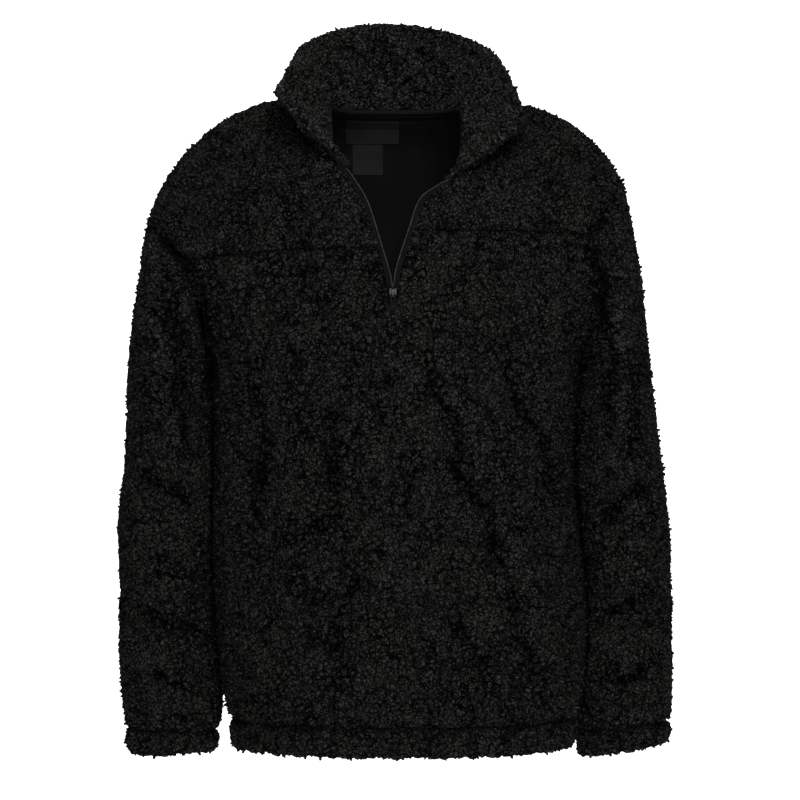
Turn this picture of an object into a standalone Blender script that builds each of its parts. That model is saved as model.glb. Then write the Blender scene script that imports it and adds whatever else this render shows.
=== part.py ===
# Sherpa fleece quarter-zip pullover, worn with no wearer in it.
# The front faces -Y, and z = 0 is the level of the shoulder seams at the neck. Left and right are as
# seen from the front: left is -X, the wearer's right.
# Tables are in millimetres. Cloth is a wall whose outer points are the tips of the pile.

import math
from collections import namedtuple

import bmesh
import bpy
import numpy as np
from mathutils import Matrix, Vector
from mathutils.bvhtree import BVHTree

MM = 0.001
SIDES = ("left", "right")

# Driving sizes
PILE_WALL = 7.0  # backing and pile together
ARMPIT_SQUEEZE = 3.0  # how much thinner the wall is under the arm
ARMPIT_REACH = 30.0
COLLAR_WALL = 5.5  # each of the collar's two faces
LINING_WALL = 1.4
LINING_EDGE = 1.5
LABEL_WALL = 0.8
TAPE_WALL = 1.4
TAPE_WIDTH = 5.5
TAPE_STEP = 3.0  # how far below the collar the tape turns to it
SEAM_GAP = 0.3
COLLAR_TUCK = 5.0  # how far the collar reaches down inside the neckline's rim
COLLAR_EDGE_SHARE = 0.55  # of its wall, along the top edge
NECK_AXIS = (0.0, -10.0)  # x and y of the line up the middle of the neck
BACK_ARMHOLE = 1.04  # depth of the armhole's back, as a share of its front
BACK_NECK_SHARE = 0.36  # of the back's half width, inside the end of the neckline

# Points across one half of a panel
SHOULDER_COLUMNS = 10
NECK_COLUMNS = 4
COLLAR_SPLIT = 2  # collar columns to each step of the neckline
COLLAR_ROWS = 5
LINING_ROWS_UP = 2  # rows between the armpit and the lining's lower edge
LINING_COLUMNS = 4  # columns of the lining beyond the neck on each side

# Rings of the body, bottom to top: the side seams' x, the depth of front and back
BodyRow = namedtuple("BodyRow", "name z left right front back steps")
BODY_ROWS = (
    BodyRow("hem edge", -698, -174, 190, -123, 122, 1),
    BodyRow("hem round", -692, -178, 194, -127, 126, 1),
    BodyRow("hem top", -675, -179, 195, -128, 127, 1),
    BodyRow("hem groove", -668, -177, 193, -124, 123, 1),
    BodyRow("above groove", -660, -182, 198, -129, 128, 1),
    BodyRow("hip", -628, -188, 204, -131, 129, 2),
    BodyRow("low waist", -560, -195, 208, -132, 128, 3),
    BodyRow("waist", -475, -199, 199, -134, 129, 3),
    BodyRow("ribs", -385, -198, 191, -138, 134, 3),
    BodyRow("armpit", -288, -199, 198, -140, 139, 2),
)

# Rows of the panels above the armpit: the front's inner edge (slit, zip edge, neckline) left
# and right, the armhole left and right with its depth, and the back's middle
UpperRow = namedtuple("UpperRow", "name inner_left inner_right arm_left arm_right back steps")
UPPER_ROWS = (
    UpperRow("low armhole", (-7.2, -139, -262), (1.2, -139, -262),
             (-204, 52, -264), (203, 50, -262), (141, -262), 1),
    UpperRow("slit end", (-7.2, -137, -222), (1.2, -137, -222),
             (-213, 74, -220), (210, 71, -217), (144, -218), 2),
    UpperRow("yoke seam", (-20, -131, -166), (19, -131, -148),
             (-231, 68, -178), (214, 70, -150), (143, -160), 1),
    UpperRow("zip middle", (-34, -119, -121), (30, -119, -117),
             (-238, 63, -171), (218, 66, -142), (141, -138), 2),
    UpperRow("zip top", (-60, -101, -78), (64, -101, -91),
             (-245, 57, -164), (221, 60, -134), (137, -116), 2),
    UpperRow("neck front", (-77, -62, -57), (78, -62, -69),
             (-256, 44, -149), (231, 46, -114), (127, -76), 2),
    UpperRow("neck side", (-82, -22, -28), (83, -22, -34),
             (-264, 24, -133), (241, 24, -98), (111, -40), 2),
    UpperRow("shoulder", (-84, 14, 2), (84, 14, -3),
             (-267, 0, -126), (246, 0, -90), (87, -7), 0),
)

# How each row swells between its two ends, as shares of the distance between them
Swell = namedtuple("Swell", "inner_x inner_z outer_x outer_y outer_z")
BODY_SWELL = Swell(0.60, 0.0, 0.0, 0.60, 0.0)
UPPER_SWELLS = (
    Swell(0.55, 0.0, 0.08, 0.50, 0.0),
    Swell(0.52, 0.0, 0.10, 0.50, 0.0),
    Swell(0.48, 0.0, 0.12, 0.50, 0.2),
    Swell(0.46, 2.0, 0.13, 0.48, 0.3),
    Swell(0.44, 5.0, 0.13, 0.45, 0.42),
    Swell(0.42, 16.0, 0.13, 0.30, 0.56),
    Swell(0.42, 23.0, 0.12, 0.10, 0.60),
    Swell(0.45, 18.0, 0.12, 0.0, 0.60),
)

# The neckline across the back, from the middle to the shoulder seam
BACK_NECK = ((0, 87, -7), (46, 78, -6), (77, 48, -5))

# Rings of the sleeves, top to bottom. Each is an oval whose outer and inner ends lie at their own heights.
SleeveRow = namedtuple("SleeveRow", "name z_outer z_inner inner outer front back steps")
SLEEVE_ROWS = {
    "left": (
        SleeveRow("cap", -202, -298, -200, -277, -82, 88, 2),
        SleeveRow("biceps", -272, -324, -192, -288, -76, 92, 2),
        SleeveRow("upper arm", -332, -354, -188, -291, -70, 92, 2),
        SleeveRow("above elbow", -400, -408, -188, -294, -64, 88, 2),
        SleeveRow("elbow", -462, -464, -189, -302, -58, 82, 2),
        SleeveRow("forearm", -530, -530, -188, -299, -54, 76, 2),
        SleeveRow("low forearm", -600, -600, -187, -300, -48, 68, 2),
        SleeveRow("wrist", -650, -652, -188, -296, -42, 60, 1),
        SleeveRow("above groove", -674, -677, -191, -294, -40, 56, 1),
        SleeveRow("cuff groove", -681, -683, -196, -289, -36, 52, 1),
        SleeveRow("cuff top", -687, -688, -193, -292, -40, 55, 1),
        SleeveRow("cuff round", -702, -698, -193, -291, -40, 55, 1),
        SleeveRow("cuff edge", -708, -704, -197, -287, -36, 51, 0),
    ),
    "right": (
        SleeveRow("cap", -170, -296, 199, 261, -82, 88, 2),
        SleeveRow("biceps", -262, -322, 192, 271, -76, 92, 2),
        SleeveRow("upper arm", -326, -352, 186, 279, -70, 92, 2),
        SleeveRow("above elbow", -400, -408, 187, 288, -64, 88, 2),
        SleeveRow("elbow", -462, -464, 192, 296, -58, 82, 2),
        SleeveRow("forearm", -530, -530, 197, 298, -54, 76, 2),
        SleeveRow("low forearm", -600, -602, 198, 299, -48, 68, 2),
        SleeveRow("wrist", -644, -652, 196, 298, -42, 60, 1),
        SleeveRow("above groove", -665, -677, 197, 298, -40, 56, 1),
        SleeveRow("cuff groove", -672, -684, 202, 293, -36, 52, 1),
        SleeveRow("cuff top", -678, -689, 198, 297, -40, 55, 1),
        SleeveRow("cuff round", -689, -704, 198, 297, -40, 55, 1),
        SleeveRow("cuff edge", -695, -710, 202, 292, -36, 51, 0),
    ),
}
SLEEVE_CLEAR = 2.8  # between the sleeve and the side of the body
SLEEVE_ROUNDNESS = 2.2

# The collar's top edge, from its left front corner round the back to its right one. At is the
# share of the way round, bulge how far the wall stands out from its straight line.
CollarRow = namedtuple("CollarRow", "name at x y z bulge")
COLLAR_ROWS_ROUND = (
    CollarRow("left corner", 0.0, -127, -78, 3, 10),
    CollarRow("left front", 0.13, -110, -34, 38, 5),
    CollarRow("left side", 0.27, -94, 26, 68, 3),
    CollarRow("left back", 0.39, -54, 70, 88, 6),
    CollarRow("back", 0.5, 0, 84, 94, 4),
    CollarRow("right back", 0.61, 61, 70, 82, 6),
    CollarRow("right side", 0.73, 103, 26, 57, 4),
    CollarRow("right front", 0.87, 123, -34, 15, 8),
    CollarRow("right corner", 1.0, 138, -78, -27, 10),
)

# Large folds: a line of three points seen from the front or from the back, its height and half width
Fold = namedtuple("Fold", "name face x0 z0 x1 z1 x2 z2 height width")
FOLDS = (
    Fold("chest to hip", "front", 33, -274, 70, -407, 121, -513, -7.5, 20),
    Fold("side of chest", "front", 114, -270, 142, -349, 167, -433, -7.5, 20),
    Fold("long ridge", "front", 15, -264, 100, -440, 160, -618, 6.0, 24),
    Fold("low inner", "front", 61, -541, 80, -585, 100, -627, -6.0, 20),
    Fold("low outer", "front", 114, -512, 139, -593, 166, -627, -6.8, 20),
    Fold("under left yoke", "front", -168, -248, -125, -238, -79, -232, -4.5, 20),
    Fold("left belly", "front", -69, -326, -64, -430, -100, -472, -5.2, 20),
    Fold("left hip", "front", -150, -560, -120, -610, -60, -640, -4.5, 20),
    Fold("left sleeve ridge", "front", -258, -150, -250, -230, -247, -305, 6.0, 20),
    Fold("left cap crease", "front", -248, -165, -228, -195, -208, -222, -5.2, 20),
    Fold("left elbow crease", "front", -285, -470, -250, -492, -215, -505, -6.0, 20),
    Fold("left wrist crease", "front", -276, -540, -240, -552, -204, -566, -6.0, 20),
    Fold("right sleeve ridge", "front", 229, -138, 236, -240, 240, -345, 6.0, 20),
    Fold("right sleeve valley", "front", 206, -172, 212, -240, 216, -305, -6.0, 20),
    Fold("right elbow crease", "front", 222, -470, 255, -486, 290, -498, -5.2, 20),
    Fold("right wrist crease", "front", 222, -590, 255, -600, 290, -592, -5.2, 20),
    Fold("back left blade", "back", -150, -190, -110, -320, -60, -430, -7.5, 20),
    Fold("back right blade", "back", 140, -200, 96, -310, 62, -400, -6.8, 20),
    Fold("back waist", "back", -120, -500, 0, -525, 110, -490, -7.5, 20),
    Fold("back low ridge", "back", 40, -540, 90, -600, 120, -650, 6.0, 20),
    Fold("back under collar", "back", -60, -70, 0, -82, 66, -72, -4.5, 20),
    Fold("back left elbow", "back", -286, -430, -250, -448, -214, -440, -6.8, 20),
    Fold("back right elbow", "back", 222, -440, 255, -455, 290, -446, -6.8, 20),
    Fold("back left forearm", "back", -284, -560, -250, -575, -212, -590, -5.2, 20),
    Fold("back right forearm", "back", 226, -575, 258, -590, 288, -604, -5.2, 20),
)

# Zip
SLIDER_AT = (-3.0, -214.0)  # x and z of the slider's middle
SLIDER_WIDTH = 7.4
SLIDER_NECK = 5.4
SLIDER_HEIGHT = 9.0
SLIDER_DEPTH = 6.4
BRIDGE_WIDTH = 1.8
BRIDGE_HEIGHT = 7.0
BRIDGE_STAND = 4.8
BRIDGE_BAR = 1.0
PULL_WIDTH = 5.6
PULL_LENGTH = 17.0
PULL_WALL = 1.2
PULL_EYE_WIDTH = 2.8
PULL_EYE_LENGTH = 5.0
PULL_BAR = 1.2
PULL_DROP = 1.5  # how far below the slider's middle the pull's bar rests

# Bare labels on the inside of the back: x range, top and bottom
LABELS = (
    ("brand_label", -56.0, 3.0, -15.0, -38.0, 6, 3),
    ("care_label", -49.0, -15.0, -38.8, -72.0, 4, 4),
)

COLOURS = {
    "pile": ((0.0060, 0.0060, 0.0056), 0.95, 0.0),
    "lining": ((0.0045, 0.0045, 0.0050), 0.75, 0.0),
    "tape": ((0.0040, 0.0040, 0.0045), 0.70, 0.0),
    "label": ((0.0060, 0.0060, 0.0070), 0.45, 0.0),
    "metal": ((0.0300, 0.0300, 0.0320), 0.35, 1.0),
}


# ---- Curves and grids -------------------------------------------------------------------------


def bezier(p0, p1, p2, p3, shares):
    t = np.asarray(shares)[:, None]
    return (1 - t) ** 3 * p0 + 3 * t * (1 - t) ** 2 * p1 + 3 * t**2 * (1 - t) * p2 + t**3 * p3


def through(stations, knots, wanted, level_end=False, steady=False):
    # A smooth curve through stations (first axis), read at the wanted knots. It may end level, and a
    # steady one never passes beyond its stations.
    stations = np.asarray(stations, float)
    knots = np.asarray(knots, float)
    spans = np.diff(knots)
    shape = (-1,) + (1,) * (stations.ndim - 1)
    slopes = np.diff(stations, axis=0) / spans.reshape(shape)
    weights = (spans[1:] / (spans[1:] + spans[:-1])).reshape(shape)
    inside = weights * slopes[:-1] + (1 - weights) * slopes[1:]
    if steady:
        same = slopes[:-1] * slopes[1:] > 0
        limit = 3 * np.minimum(np.abs(slopes[:-1]), np.abs(slopes[1:]))
        inside = np.where(same, np.sign(inside) * np.minimum(np.abs(inside), limit), 0.0)
    last = slopes[-1:] * (np.array([0.3, 1.2, 0.0]) if level_end else 1.0)
    tangents = np.concatenate([slopes[:1], inside, last])
    out = []
    for value in wanted:
        k = min(max(np.searchsorted(knots, value, side="right") - 1, 0), len(spans) - 1)
        h = spans[k]
        t = (value - knots[k]) / h
        out.append(
            (2 * t**3 - 3 * t**2 + 1) * stations[k]
            + (t**3 - 2 * t**2 + t) * h * tangents[k]
            + (3 * t**2 - 2 * t**3) * stations[k + 1]
            + (t**3 - t**2) * h * tangents[k + 1]
        )
    return np.array(out)


def station_marks(steps):
    # Index of each station's row when every span is divided into its own number of steps.
    return np.concatenate([[0], np.cumsum(steps)]).astype(int)


def rows_through(stations, steps, level_end=False):
    # Rows of points through the stations, evened out by the mean distance between them.
    stations = np.asarray(stations, float)
    lengths = np.linalg.norm(np.diff(stations, axis=0), axis=2).mean(axis=1)
    knots = np.concatenate([[0], np.cumsum(lengths)])
    wanted = [knots[k] + (knots[k + 1] - knots[k]) * i / n for k, n in enumerate(steps) for i in range(n)]
    return through(stations, knots, wanted + [knots[-1]], level_end, steady=True)


def swollen_row(inner, outer, swell, shares):
    inner, outer = np.asarray(inner, float), np.asarray(outer, float)
    across = outer - inner
    near = inner + np.array([swell.inner_x * across[0], 0.0, swell.inner_z])
    far = outer - across * np.array([swell.outer_x, swell.outer_y, swell.outer_z])
    return bezier(inner, near, far, outer, shares)


# ---- Panels -----------------------------------------------------------------------------------


def side_sign(side):
    return -1 if side == "left" else 1


def upper_inner(row, side):
    return row.inner_left if side == "left" else row.inner_right


def armhole_point(row, side, face):
    x, depth, z = row.arm_left if side == "left" else row.arm_right
    return (x, -depth if face == "front" else depth * BACK_ARMHOLE, z)


def front_half(side):
    shares = np.linspace(0, 1, SHOULDER_COLUMNS + 1)
    slit_x = upper_inner(UPPER_ROWS[0], side)[0]
    stations = []
    for row in BODY_ROWS:
        edge = row.left if side == "left" else row.right
        stations.append(swollen_row((slit_x, row.front, row.z), (edge, 0, row.z), BODY_SWELL, shares))
    for row, swell in zip(UPPER_ROWS, UPPER_SWELLS):
        inner = upper_inner(row, side)
        stations.append(swollen_row(inner, armhole_point(row, side, "front"), swell, shares))
    return rows_through(stations, row_steps(), level_end=True)


def row_steps():
    return [row.steps for row in BODY_ROWS] + [row.steps for row in UPPER_ROWS[:-1]]


def back_half(side):
    sign = side_sign(side)
    shares = np.concatenate([
        np.linspace(0, BACK_NECK_SHARE, NECK_COLUMNS, endpoint=False),
        np.linspace(BACK_NECK_SHARE, 1, SHOULDER_COLUMNS + 1),
    ])
    stations = []
    for row in BODY_ROWS:
        edge = row.left if side == "left" else row.right
        stations.append(swollen_row((0, row.back, row.z), (edge, 0, row.z), BODY_SWELL, shares))
    for row, swell in zip(UPPER_ROWS[:-1], UPPER_SWELLS):
        middle = (0, row.back[0], row.back[1])
        stations.append(swollen_row(middle, armhole_point(row, side, "back"), swell, shares))
    shoulder = swollen_row(
        upper_inner(UPPER_ROWS[-1], side),
        armhole_point(UPPER_ROWS[-1], side, "front"),
        UPPER_SWELLS[-1],
        np.linspace(0, 1, SHOULDER_COLUMNS + 1),
    )
    neck = [(sign * x, y, z) for x, y, z in BACK_NECK] + [tuple(shoulder[0])]
    lengths = np.linalg.norm(np.diff(np.array(neck, float), axis=0), axis=1)
    knots = np.concatenate([[0], np.cumsum(lengths)])
    wanted = np.linspace(0, knots[-1], NECK_COLUMNS + 1)[:-1]
    stations.append(np.concatenate([through(neck, knots, wanted), shoulder]))
    return rows_through(stations, row_steps(), level_end=True)


def sleeve_grid(side, front, back, armpit_row):
    # Columns start at the shoulder seam's end, run down the armhole's front to the armpit and up its back.
    down = front[armpit_row:, -1][::-1]
    up = back[armpit_row + 1:-1, -1]
    armhole = np.concatenate([down, up])
    angles = np.concatenate([half_angles(down, 0, math.pi), half_angles(
        np.concatenate([down[-1:], up, down[:1]]), math.pi, 2 * math.pi)[1:-1]])
    stations = [armhole] + [oval(row, angles) for row in SLEEVE_ROWS[side]]
    steps = [3] + [row.steps for row in SLEEVE_ROWS[side][:-1]]
    return rows_through(stations, steps), station_marks(steps)


def half_angles(points, start, end):
    lengths = np.concatenate([[0], np.cumsum(np.linalg.norm(np.diff(points, axis=0), axis=1))])
    return start + (end - start) * lengths / lengths[-1]


def oval(row, angles):
    power = 2 / SLEEVE_ROUNDNESS
    c, s = np.cos(angles), np.sin(angles)
    c = np.sign(c) * np.abs(c) ** power
    s = np.sign(s) * np.abs(s) ** power
    middle = (row.inner + row.outer) / 2
    depth_middle = (row.front + row.back) / 2
    return np.stack([
        middle + (row.outer - row.inner) / 2 * c,
        depth_middle - (row.back - row.front) / 2 * s,
        (row.z_outer + row.z_inner) / 2 + (row.z_outer - row.z_inner) / 2 * np.cos(angles),
    ], axis=1)


# ---- Faces, normals and folds -----------------------------------------------------------------


def grid_faces(rows, columns, wrap=False, without=()):
    # Quads of a grid of points, outward when columns run to +X on the front. Those named in without are
    # left out, as (row, column).
    faces = []
    for r in range(rows - 1):
        for c in range(columns if wrap else columns - 1):
            if (r, c) in without:
                continue
            d = (c + 1) % columns
            faces.append((r * columns + c, r * columns + d, (r + 1) * columns + d, (r + 1) * columns + c))
    return faces


Panel = namedtuple("Panel", "points faces")
Cloth = namedtuple("Cloth", "outer inner normals faces shape")


def key_of(point):
    return tuple(np.round(point, 2))


def add_normals(sums, points, faces):
    for face in faces:
        a, b, c, d = (points[i] for i in face)
        normal = np.cross(c - a, d - b)
        for i in face:
            key = key_of(points[i])
            sums[key] = sums.get(key, np.zeros(3)) + normal


def shared_normals(panels):
    # One normal for each point, the same on both sides of a seam, where every panel counts alike.
    shared = {}
    for panel in panels.values():
        own = {}
        add_normals(own, panel.points.reshape(-1, 3), panel.faces)
        for key, normal in own.items():
            shared[key] = shared.get(key, np.zeros(3)) + unit(normal)
    return {
        name: unit(np.array([shared[key_of(p)] for p in panel.points.reshape(-1, 3)]))
        for name, panel in panels.items()
    }


def fold_height(points):
    x, y, z = points[:, 0], points[:, 1], points[:, 2]
    total = np.zeros(len(points))
    for fold in FOLDS:
        corners = np.array([(fold.x0, fold.z0), (fold.x1, fold.z1), (fold.x2, fold.z2)], float)
        here = np.stack([x, z], axis=1)
        nearest = np.full(len(points), np.inf)
        for a, b in zip(corners[:-1], corners[1:]):
            along = np.clip(((here - a) @ (b - a)) / ((b - a) @ (b - a)), 0, 1)
            nearest = np.minimum(nearest, np.linalg.norm(here - a - along[:, None] * (b - a), axis=1))
        facing = -y if fold.face == "front" else y
        shown = np.clip((facing - 8) / 25, 0, 1)
        total += fold.height * shown * np.exp(-((nearest / fold.width) ** 2))
    return total


def drawn_back(points, faces, distance):
    # Moves the open edges' points into their own faces, so that neighbours part at the seam.
    uses = {}
    for face in faces:
        for a, b in zip(face, face[1:] + face[:1]):
            uses.setdefault((min(a, b), max(a, b)), []).append(face)
    moves = np.zeros_like(points)
    for (a, b), owners in uses.items():
        if len(owners) > 1:
            continue
        edge = points[b] - points[a]
        edge /= np.linalg.norm(edge)
        inward = np.mean([points[i] for i in owners[0]], axis=0) - (points[a] + points[b]) / 2
        inward -= edge * (inward @ edge)
        inward /= np.linalg.norm(inward)
        for i in (a, b):
            moves[i] += inward
    # A point between two straight edges gets two unit moves, and a corner's are longer.
    lengths = np.linalg.norm(moves, axis=1)
    moved = lengths > 0
    moves[moved] *= (2 * distance / lengths[moved] ** 2)[:, None]
    return moves


# ---- Solids -----------------------------------------------------------------------------------


def material(name):
    colour, roughness, metallic = COLOURS[name]
    found = bpy.data.materials.get(name) or bpy.data.materials.new(name)
    found.use_nodes = True
    shader = found.node_tree.nodes["Principled BSDF"]
    shader.inputs["Base Color"].default_value = (*colour, 1)
    shader.inputs["Roughness"].default_value = roughness
    shader.inputs["Metallic"].default_value = metallic
    return found


def wall_object(name, outer, inner, faces, finish, group):
    # A closed wall between two sheets of points with the same faces.
    mesh = bmesh.new()
    outside = [mesh.verts.new(Vector(p) * MM) for p in outer]
    inside = [mesh.verts.new(Vector(p) * MM) for p in inner]
    ends = {}
    for face in faces:
        mesh.faces.new([outside[i] for i in face])
        mesh.faces.new([inside[i] for i in reversed(face)])
        for a, b in zip(face, face[1:] + face[:1]):
            ends[(a, b)] = True
    for a, b in ends:
        if (b, a) not in ends:
            mesh.faces.new([outside[b], outside[a], inside[a], inside[b]])
    loose = [v for v in mesh.verts if not v.link_faces]
    bmesh.ops.delete(mesh, geom=loose, context="VERTS")
    bmesh.ops.recalc_face_normals(mesh, faces=mesh.faces)
    bmesh.ops.triangulate(mesh, faces=mesh.faces)
    data = bpy.data.meshes.new(name)
    mesh.to_mesh(data)
    mesh.free()
    data.shade_smooth()
    data.set_sharp_from_angle(angle=math.radians(50))
    data.materials.append(material(finish))
    made = bpy.data.objects.new(name, data)
    group.objects.link(made)
    return made


def cloth_panels():
    halves = {side: front_half(side) for side in SIDES}
    backs = {side: back_half(side) for side in SIDES}
    at = {row.name: mark for row, mark in zip(BODY_ROWS + UPPER_ROWS, station_marks(row_steps()))}
    groove, armpit, yoke_seam = at["hem groove"], at["armpit"], at["yoke seam"]
    for side in SIDES:
        backs[side][:armpit + 1, -1] = halves[side][:armpit + 1, -1]
    front = np.concatenate([halves["left"][:, ::-1], halves["right"]], axis=1)
    back = np.concatenate([backs["right"][:, ::-1], backs["left"][:, 1:]], axis=1)
    across = front.shape[1]
    middle = SHOULDER_COLUMNS

    panels = {}
    body = front[groove:yoke_seam + 1]
    holes = {(r, middle) for r in range(at["slit end"] - groove, len(body) - 1)}
    panels["front_body"] = Panel(body, grid_faces(*body.shape[:2], without=holes))
    for side, part in (("left", slice(0, middle + 1)), ("right", slice(middle + 1, across))):
        yoke = front[yoke_seam:, part]
        panels["front_yoke_" + side] = Panel(yoke, grid_faces(*yoke.shape[:2]))
    panels["back"] = Panel(back[groove:], grid_faces(*back[groove:].shape[:2]))
    hem = np.concatenate([front[:groove + 1], back[:groove + 1, 1:-1]], axis=1)
    panels["hem_band"] = Panel(hem, grid_faces(*hem.shape[:2], wrap=True))
    walls = body_tree(front, back)
    for side in SIDES:
        grid, steps = sleeve_grid(side, halves[side], backs[side], armpit)
        grid = beside_body(grid, side, walls)
        cuff = steps[1 + [row.name for row in SLEEVE_ROWS[side]].index("cuff groove")]
        for name, rows in (("sleeve_", grid[:cuff + 1]), ("cuff_", grid[cuff:])):
            faces = grid_faces(*rows.shape[:2], wrap=True)
            if side == "left":
                faces = [tuple(reversed(face)) for face in faces]
            panels[name + side] = Panel(rows, faces)
    marked = {
        "slit_end": at["slit end"] - groove,
        "zip_top": at["zip top"] - yoke_seam,
        "lining": at["armpit"] + LINING_ROWS_UP - groove,
    }
    return panels, marked


def body_tree(front, back):
    # The body's outer face, to keep the sleeves beside it.
    points, faces = [], []
    for grid in (front, back):
        start = len(points)
        points += [Vector(p) for p in grid.reshape(-1, 3)]
        faces += [tuple(start + i for i in face) for face in grid_faces(*grid.shape[:2])]
    return BVHTree.FromPolygons(points, faces)


def beside_body(grid, side, walls):
    # Sleeve points that would touch the body lie flat beside it.
    sign = side_sign(side)
    out = grid.copy()
    for r in range(1, len(grid)):
        clear = SLEEVE_CLEAR * min(1, (r + 1) / 3)
        for c, (x, y, z) in enumerate(grid[r]):
            hit, _, _, _ = walls.ray_cast(Vector((sign * 400, y, z)), Vector((-sign, 0, 0)))
            if hit is not None:
                out[r, c, 0] = sign * smooth_max(sign * x, sign * hit.x + clear)
    return out


def smooth_max(a, b, blend=3.0):
    # The larger of two, rounded where they are alike, and never less than b.
    if a - b > blend:
        return a
    if a - b < -blend:
        return b
    return b + (a - b + blend) ** 2 / (4 * blend)


def wall_depth(points):
    # The pile is squeezed where sleeve and body meet under the arm.
    armpit = BODY_ROWS[-1]
    depth = np.full(len(points), PILE_WALL)
    for x in (armpit.left, armpit.right):
        away = np.linalg.norm(points - np.array([x, 0, armpit.z]), axis=1)
        depth -= ARMPIT_SQUEEZE * np.exp(-((away / ARMPIT_REACH) ** 2))
    return depth


def finished_panels():
    # Outer and inner points of every cloth panel, folded and parted at the seams.
    panels, marked = cloth_panels()
    normals = shared_normals(panels)
    out = {}
    for name, panel in panels.items():
        points = panel.points.reshape(-1, 3)
        folded = points + normals[name] * fold_height(points)[:, None]
        outer = folded + drawn_back(folded, panel.faces, SEAM_GAP / 2)
        inner = outer - normals[name] * wall_depth(points)[:, None]
        out[name] = Cloth(outer, inner, normals[name], panel.faces, panel.points.shape[:2])
    return out, marked


# ---- Collar -----------------------------------------------------------------------------------


def neckline(cloth, marked):
    # Points and normals along the neckline, from the left zip edge round the back to the right one.
    points, normals = [], []

    def take(name, indexes):
        points.extend(cloth[name].outer[i] for i in indexes)
        normals.extend(cloth[name].normals[i] for i in indexes)

    rows, columns = cloth["front_yoke_left"].shape
    take("front_yoke_left", [r * columns + columns - 1 for r in range(marked["zip_top"], rows - 1)])
    rows_back, columns_back = cloth["back"].shape
    last = (rows_back - 1) * columns_back
    neck_right = SHOULDER_COLUMNS
    neck_left = columns_back - 1 - SHOULDER_COLUMNS
    take("back", [last + c for c in range(neck_left, neck_right - 1, -1)])
    take("front_yoke_right", [r * columns for r in range(rows - 2, marked["zip_top"] - 1, -1)])
    return np.array(points), np.array(normals)


def unit(vectors):
    return vectors / np.linalg.norm(vectors, axis=-1, keepdims=True)


def from_neck_axis(points):
    return points * [1, 1, 0] - np.array([*NECK_AXIS, 0])


def collar_frames(cloth, marked):
    ring, normals = neckline(cloth, marked)
    along = unit(np.gradient(ring, axis=0))
    into = unit(np.cross(normals, along))
    into *= -np.sign(np.sum(into * from_neck_axis(ring), axis=1))[:, None]
    steps = np.arange(0, len(ring) - 1 + 1e-6, 1 / COLLAR_SPLIT)

    def split(values):
        low = np.floor(steps - 1e-9).clip(0).astype(int)
        share = (steps - low)[:, None]
        return values[low] * (1 - share) + values[low + 1] * share

    return split(ring), unit(split(normals)), unit(split(into)), unit(split(along))


def collar_middle(cloth, marked):
    # The sheet between the collar's two faces: rows from the tucked edge up, columns round the neck.
    ring, normals, into, along = collar_frames(cloth, marked)
    base = ring + into * (2.5 * SEAM_GAP + COLLAR_WALL)
    lengths = np.concatenate([[0], np.cumsum(np.linalg.norm(np.diff(ring, axis=0), axis=1))])
    at = [row.at for row in COLLAR_ROWS_ROUND]
    top = through([(row.x, row.y, row.z) for row in COLLAR_ROWS_ROUND], at, lengths / lengths[-1])
    bulge = np.interp(lengths / lengths[-1], at, [row.bulge for row in COLLAR_ROWS_ROUND])
    chord = unit(top - base)
    outward = from_neck_axis(ring)
    outward = unit(outward - chord * np.sum(outward * chord, axis=1)[:, None])
    rows = [base - normals * COLLAR_TUCK, base]
    for share in list(np.arange(1, COLLAR_ROWS) / COLLAR_ROWS) + [0.95, 1.0]:
        lift = 4 * share * (1 - share) * bulge[:, None]
        rows.append(base * (1 - share) + top * share + outward * lift)
    rows = np.array(rows)
    faces = grid_faces(*rows.shape[:2])
    sums = {}
    add_normals(sums, rows.reshape(-1, 3), faces)
    facing = np.array([sums[key_of(p)] for p in rows.reshape(-1, 3)]).reshape(rows.shape)
    facing = unit(facing)
    if np.sum(facing[len(rows) // 2, len(ring) // 2] * outward[len(ring) // 2]) < 0:
        facing = -facing
    facing[:2] = -into
    facing[2] = unit(facing[2] - into * 0.6)
    return rows, facing, along, faces


def add_collar(cloth, marked, group):
    rows, facing, along, faces = collar_middle(cloth, marked)
    thickness = np.full(len(rows), COLLAR_WALL)
    thickness[-1] *= COLLAR_EDGE_SHARE
    thickness = thickness[:, None, None]
    moves = drawn_back(rows.reshape(-1, 3), faces, SEAM_GAP / 2)
    for name, sign in (("collar_outer", 1), ("collar_inner", -1)):
        close = (rows + sign * facing * SEAM_GAP / 2).reshape(-1, 3)
        far = (rows + sign * facing * thickness).reshape(-1, 3)
        wall_object(name, far + moves, close + moves, faces, "pile", group)
    return rows, facing, along


# ---- Lining and labels ------------------------------------------------------------------------


def add_lining(cloth, marked, group):
    back = cloth["back"]
    rows, columns = back.shape
    first = SHOULDER_COLUMNS - LINING_COLUMNS
    keep = range(first, columns - first)
    index = [r * columns + c for r in range(marked["lining"], rows) for c in keep]
    faces = grid_faces(rows - marked["lining"], len(keep))
    moves = drawn_back(back.outer[index], faces, LINING_EDGE)
    outer = back.inner[index] - back.normals[index] * SEAM_GAP + moves
    inner = outer - back.normals[index] * LINING_WALL
    wall_object("back_lining", outer, inner, faces, "lining", group)
    return BVHTree.FromPolygons([Vector(p) for p in inner], faces)


def add_labels(lining, group):
    for name, left, right, top, bottom, across, down in LABELS:
        outer, inner = [], []
        for z in np.linspace(bottom, top, down + 1):
            for x in np.linspace(left, right, across + 1):
                hit, normal, _, _ = lining.ray_cast(Vector((x, 0, z)), Vector((0, 1, 0)))
                normal = normal if normal.y < 0 else -normal
                inner.append(np.array(hit + normal * SEAM_GAP * 1.5))
                outer.append(np.array(hit + normal * (SEAM_GAP * 1.5 + LABEL_WALL)))
        wall_object(name, outer, inner, grid_faces(down + 1, across + 1), "label", group)


# ---- Zip --------------------------------------------------------------------------------------


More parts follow.
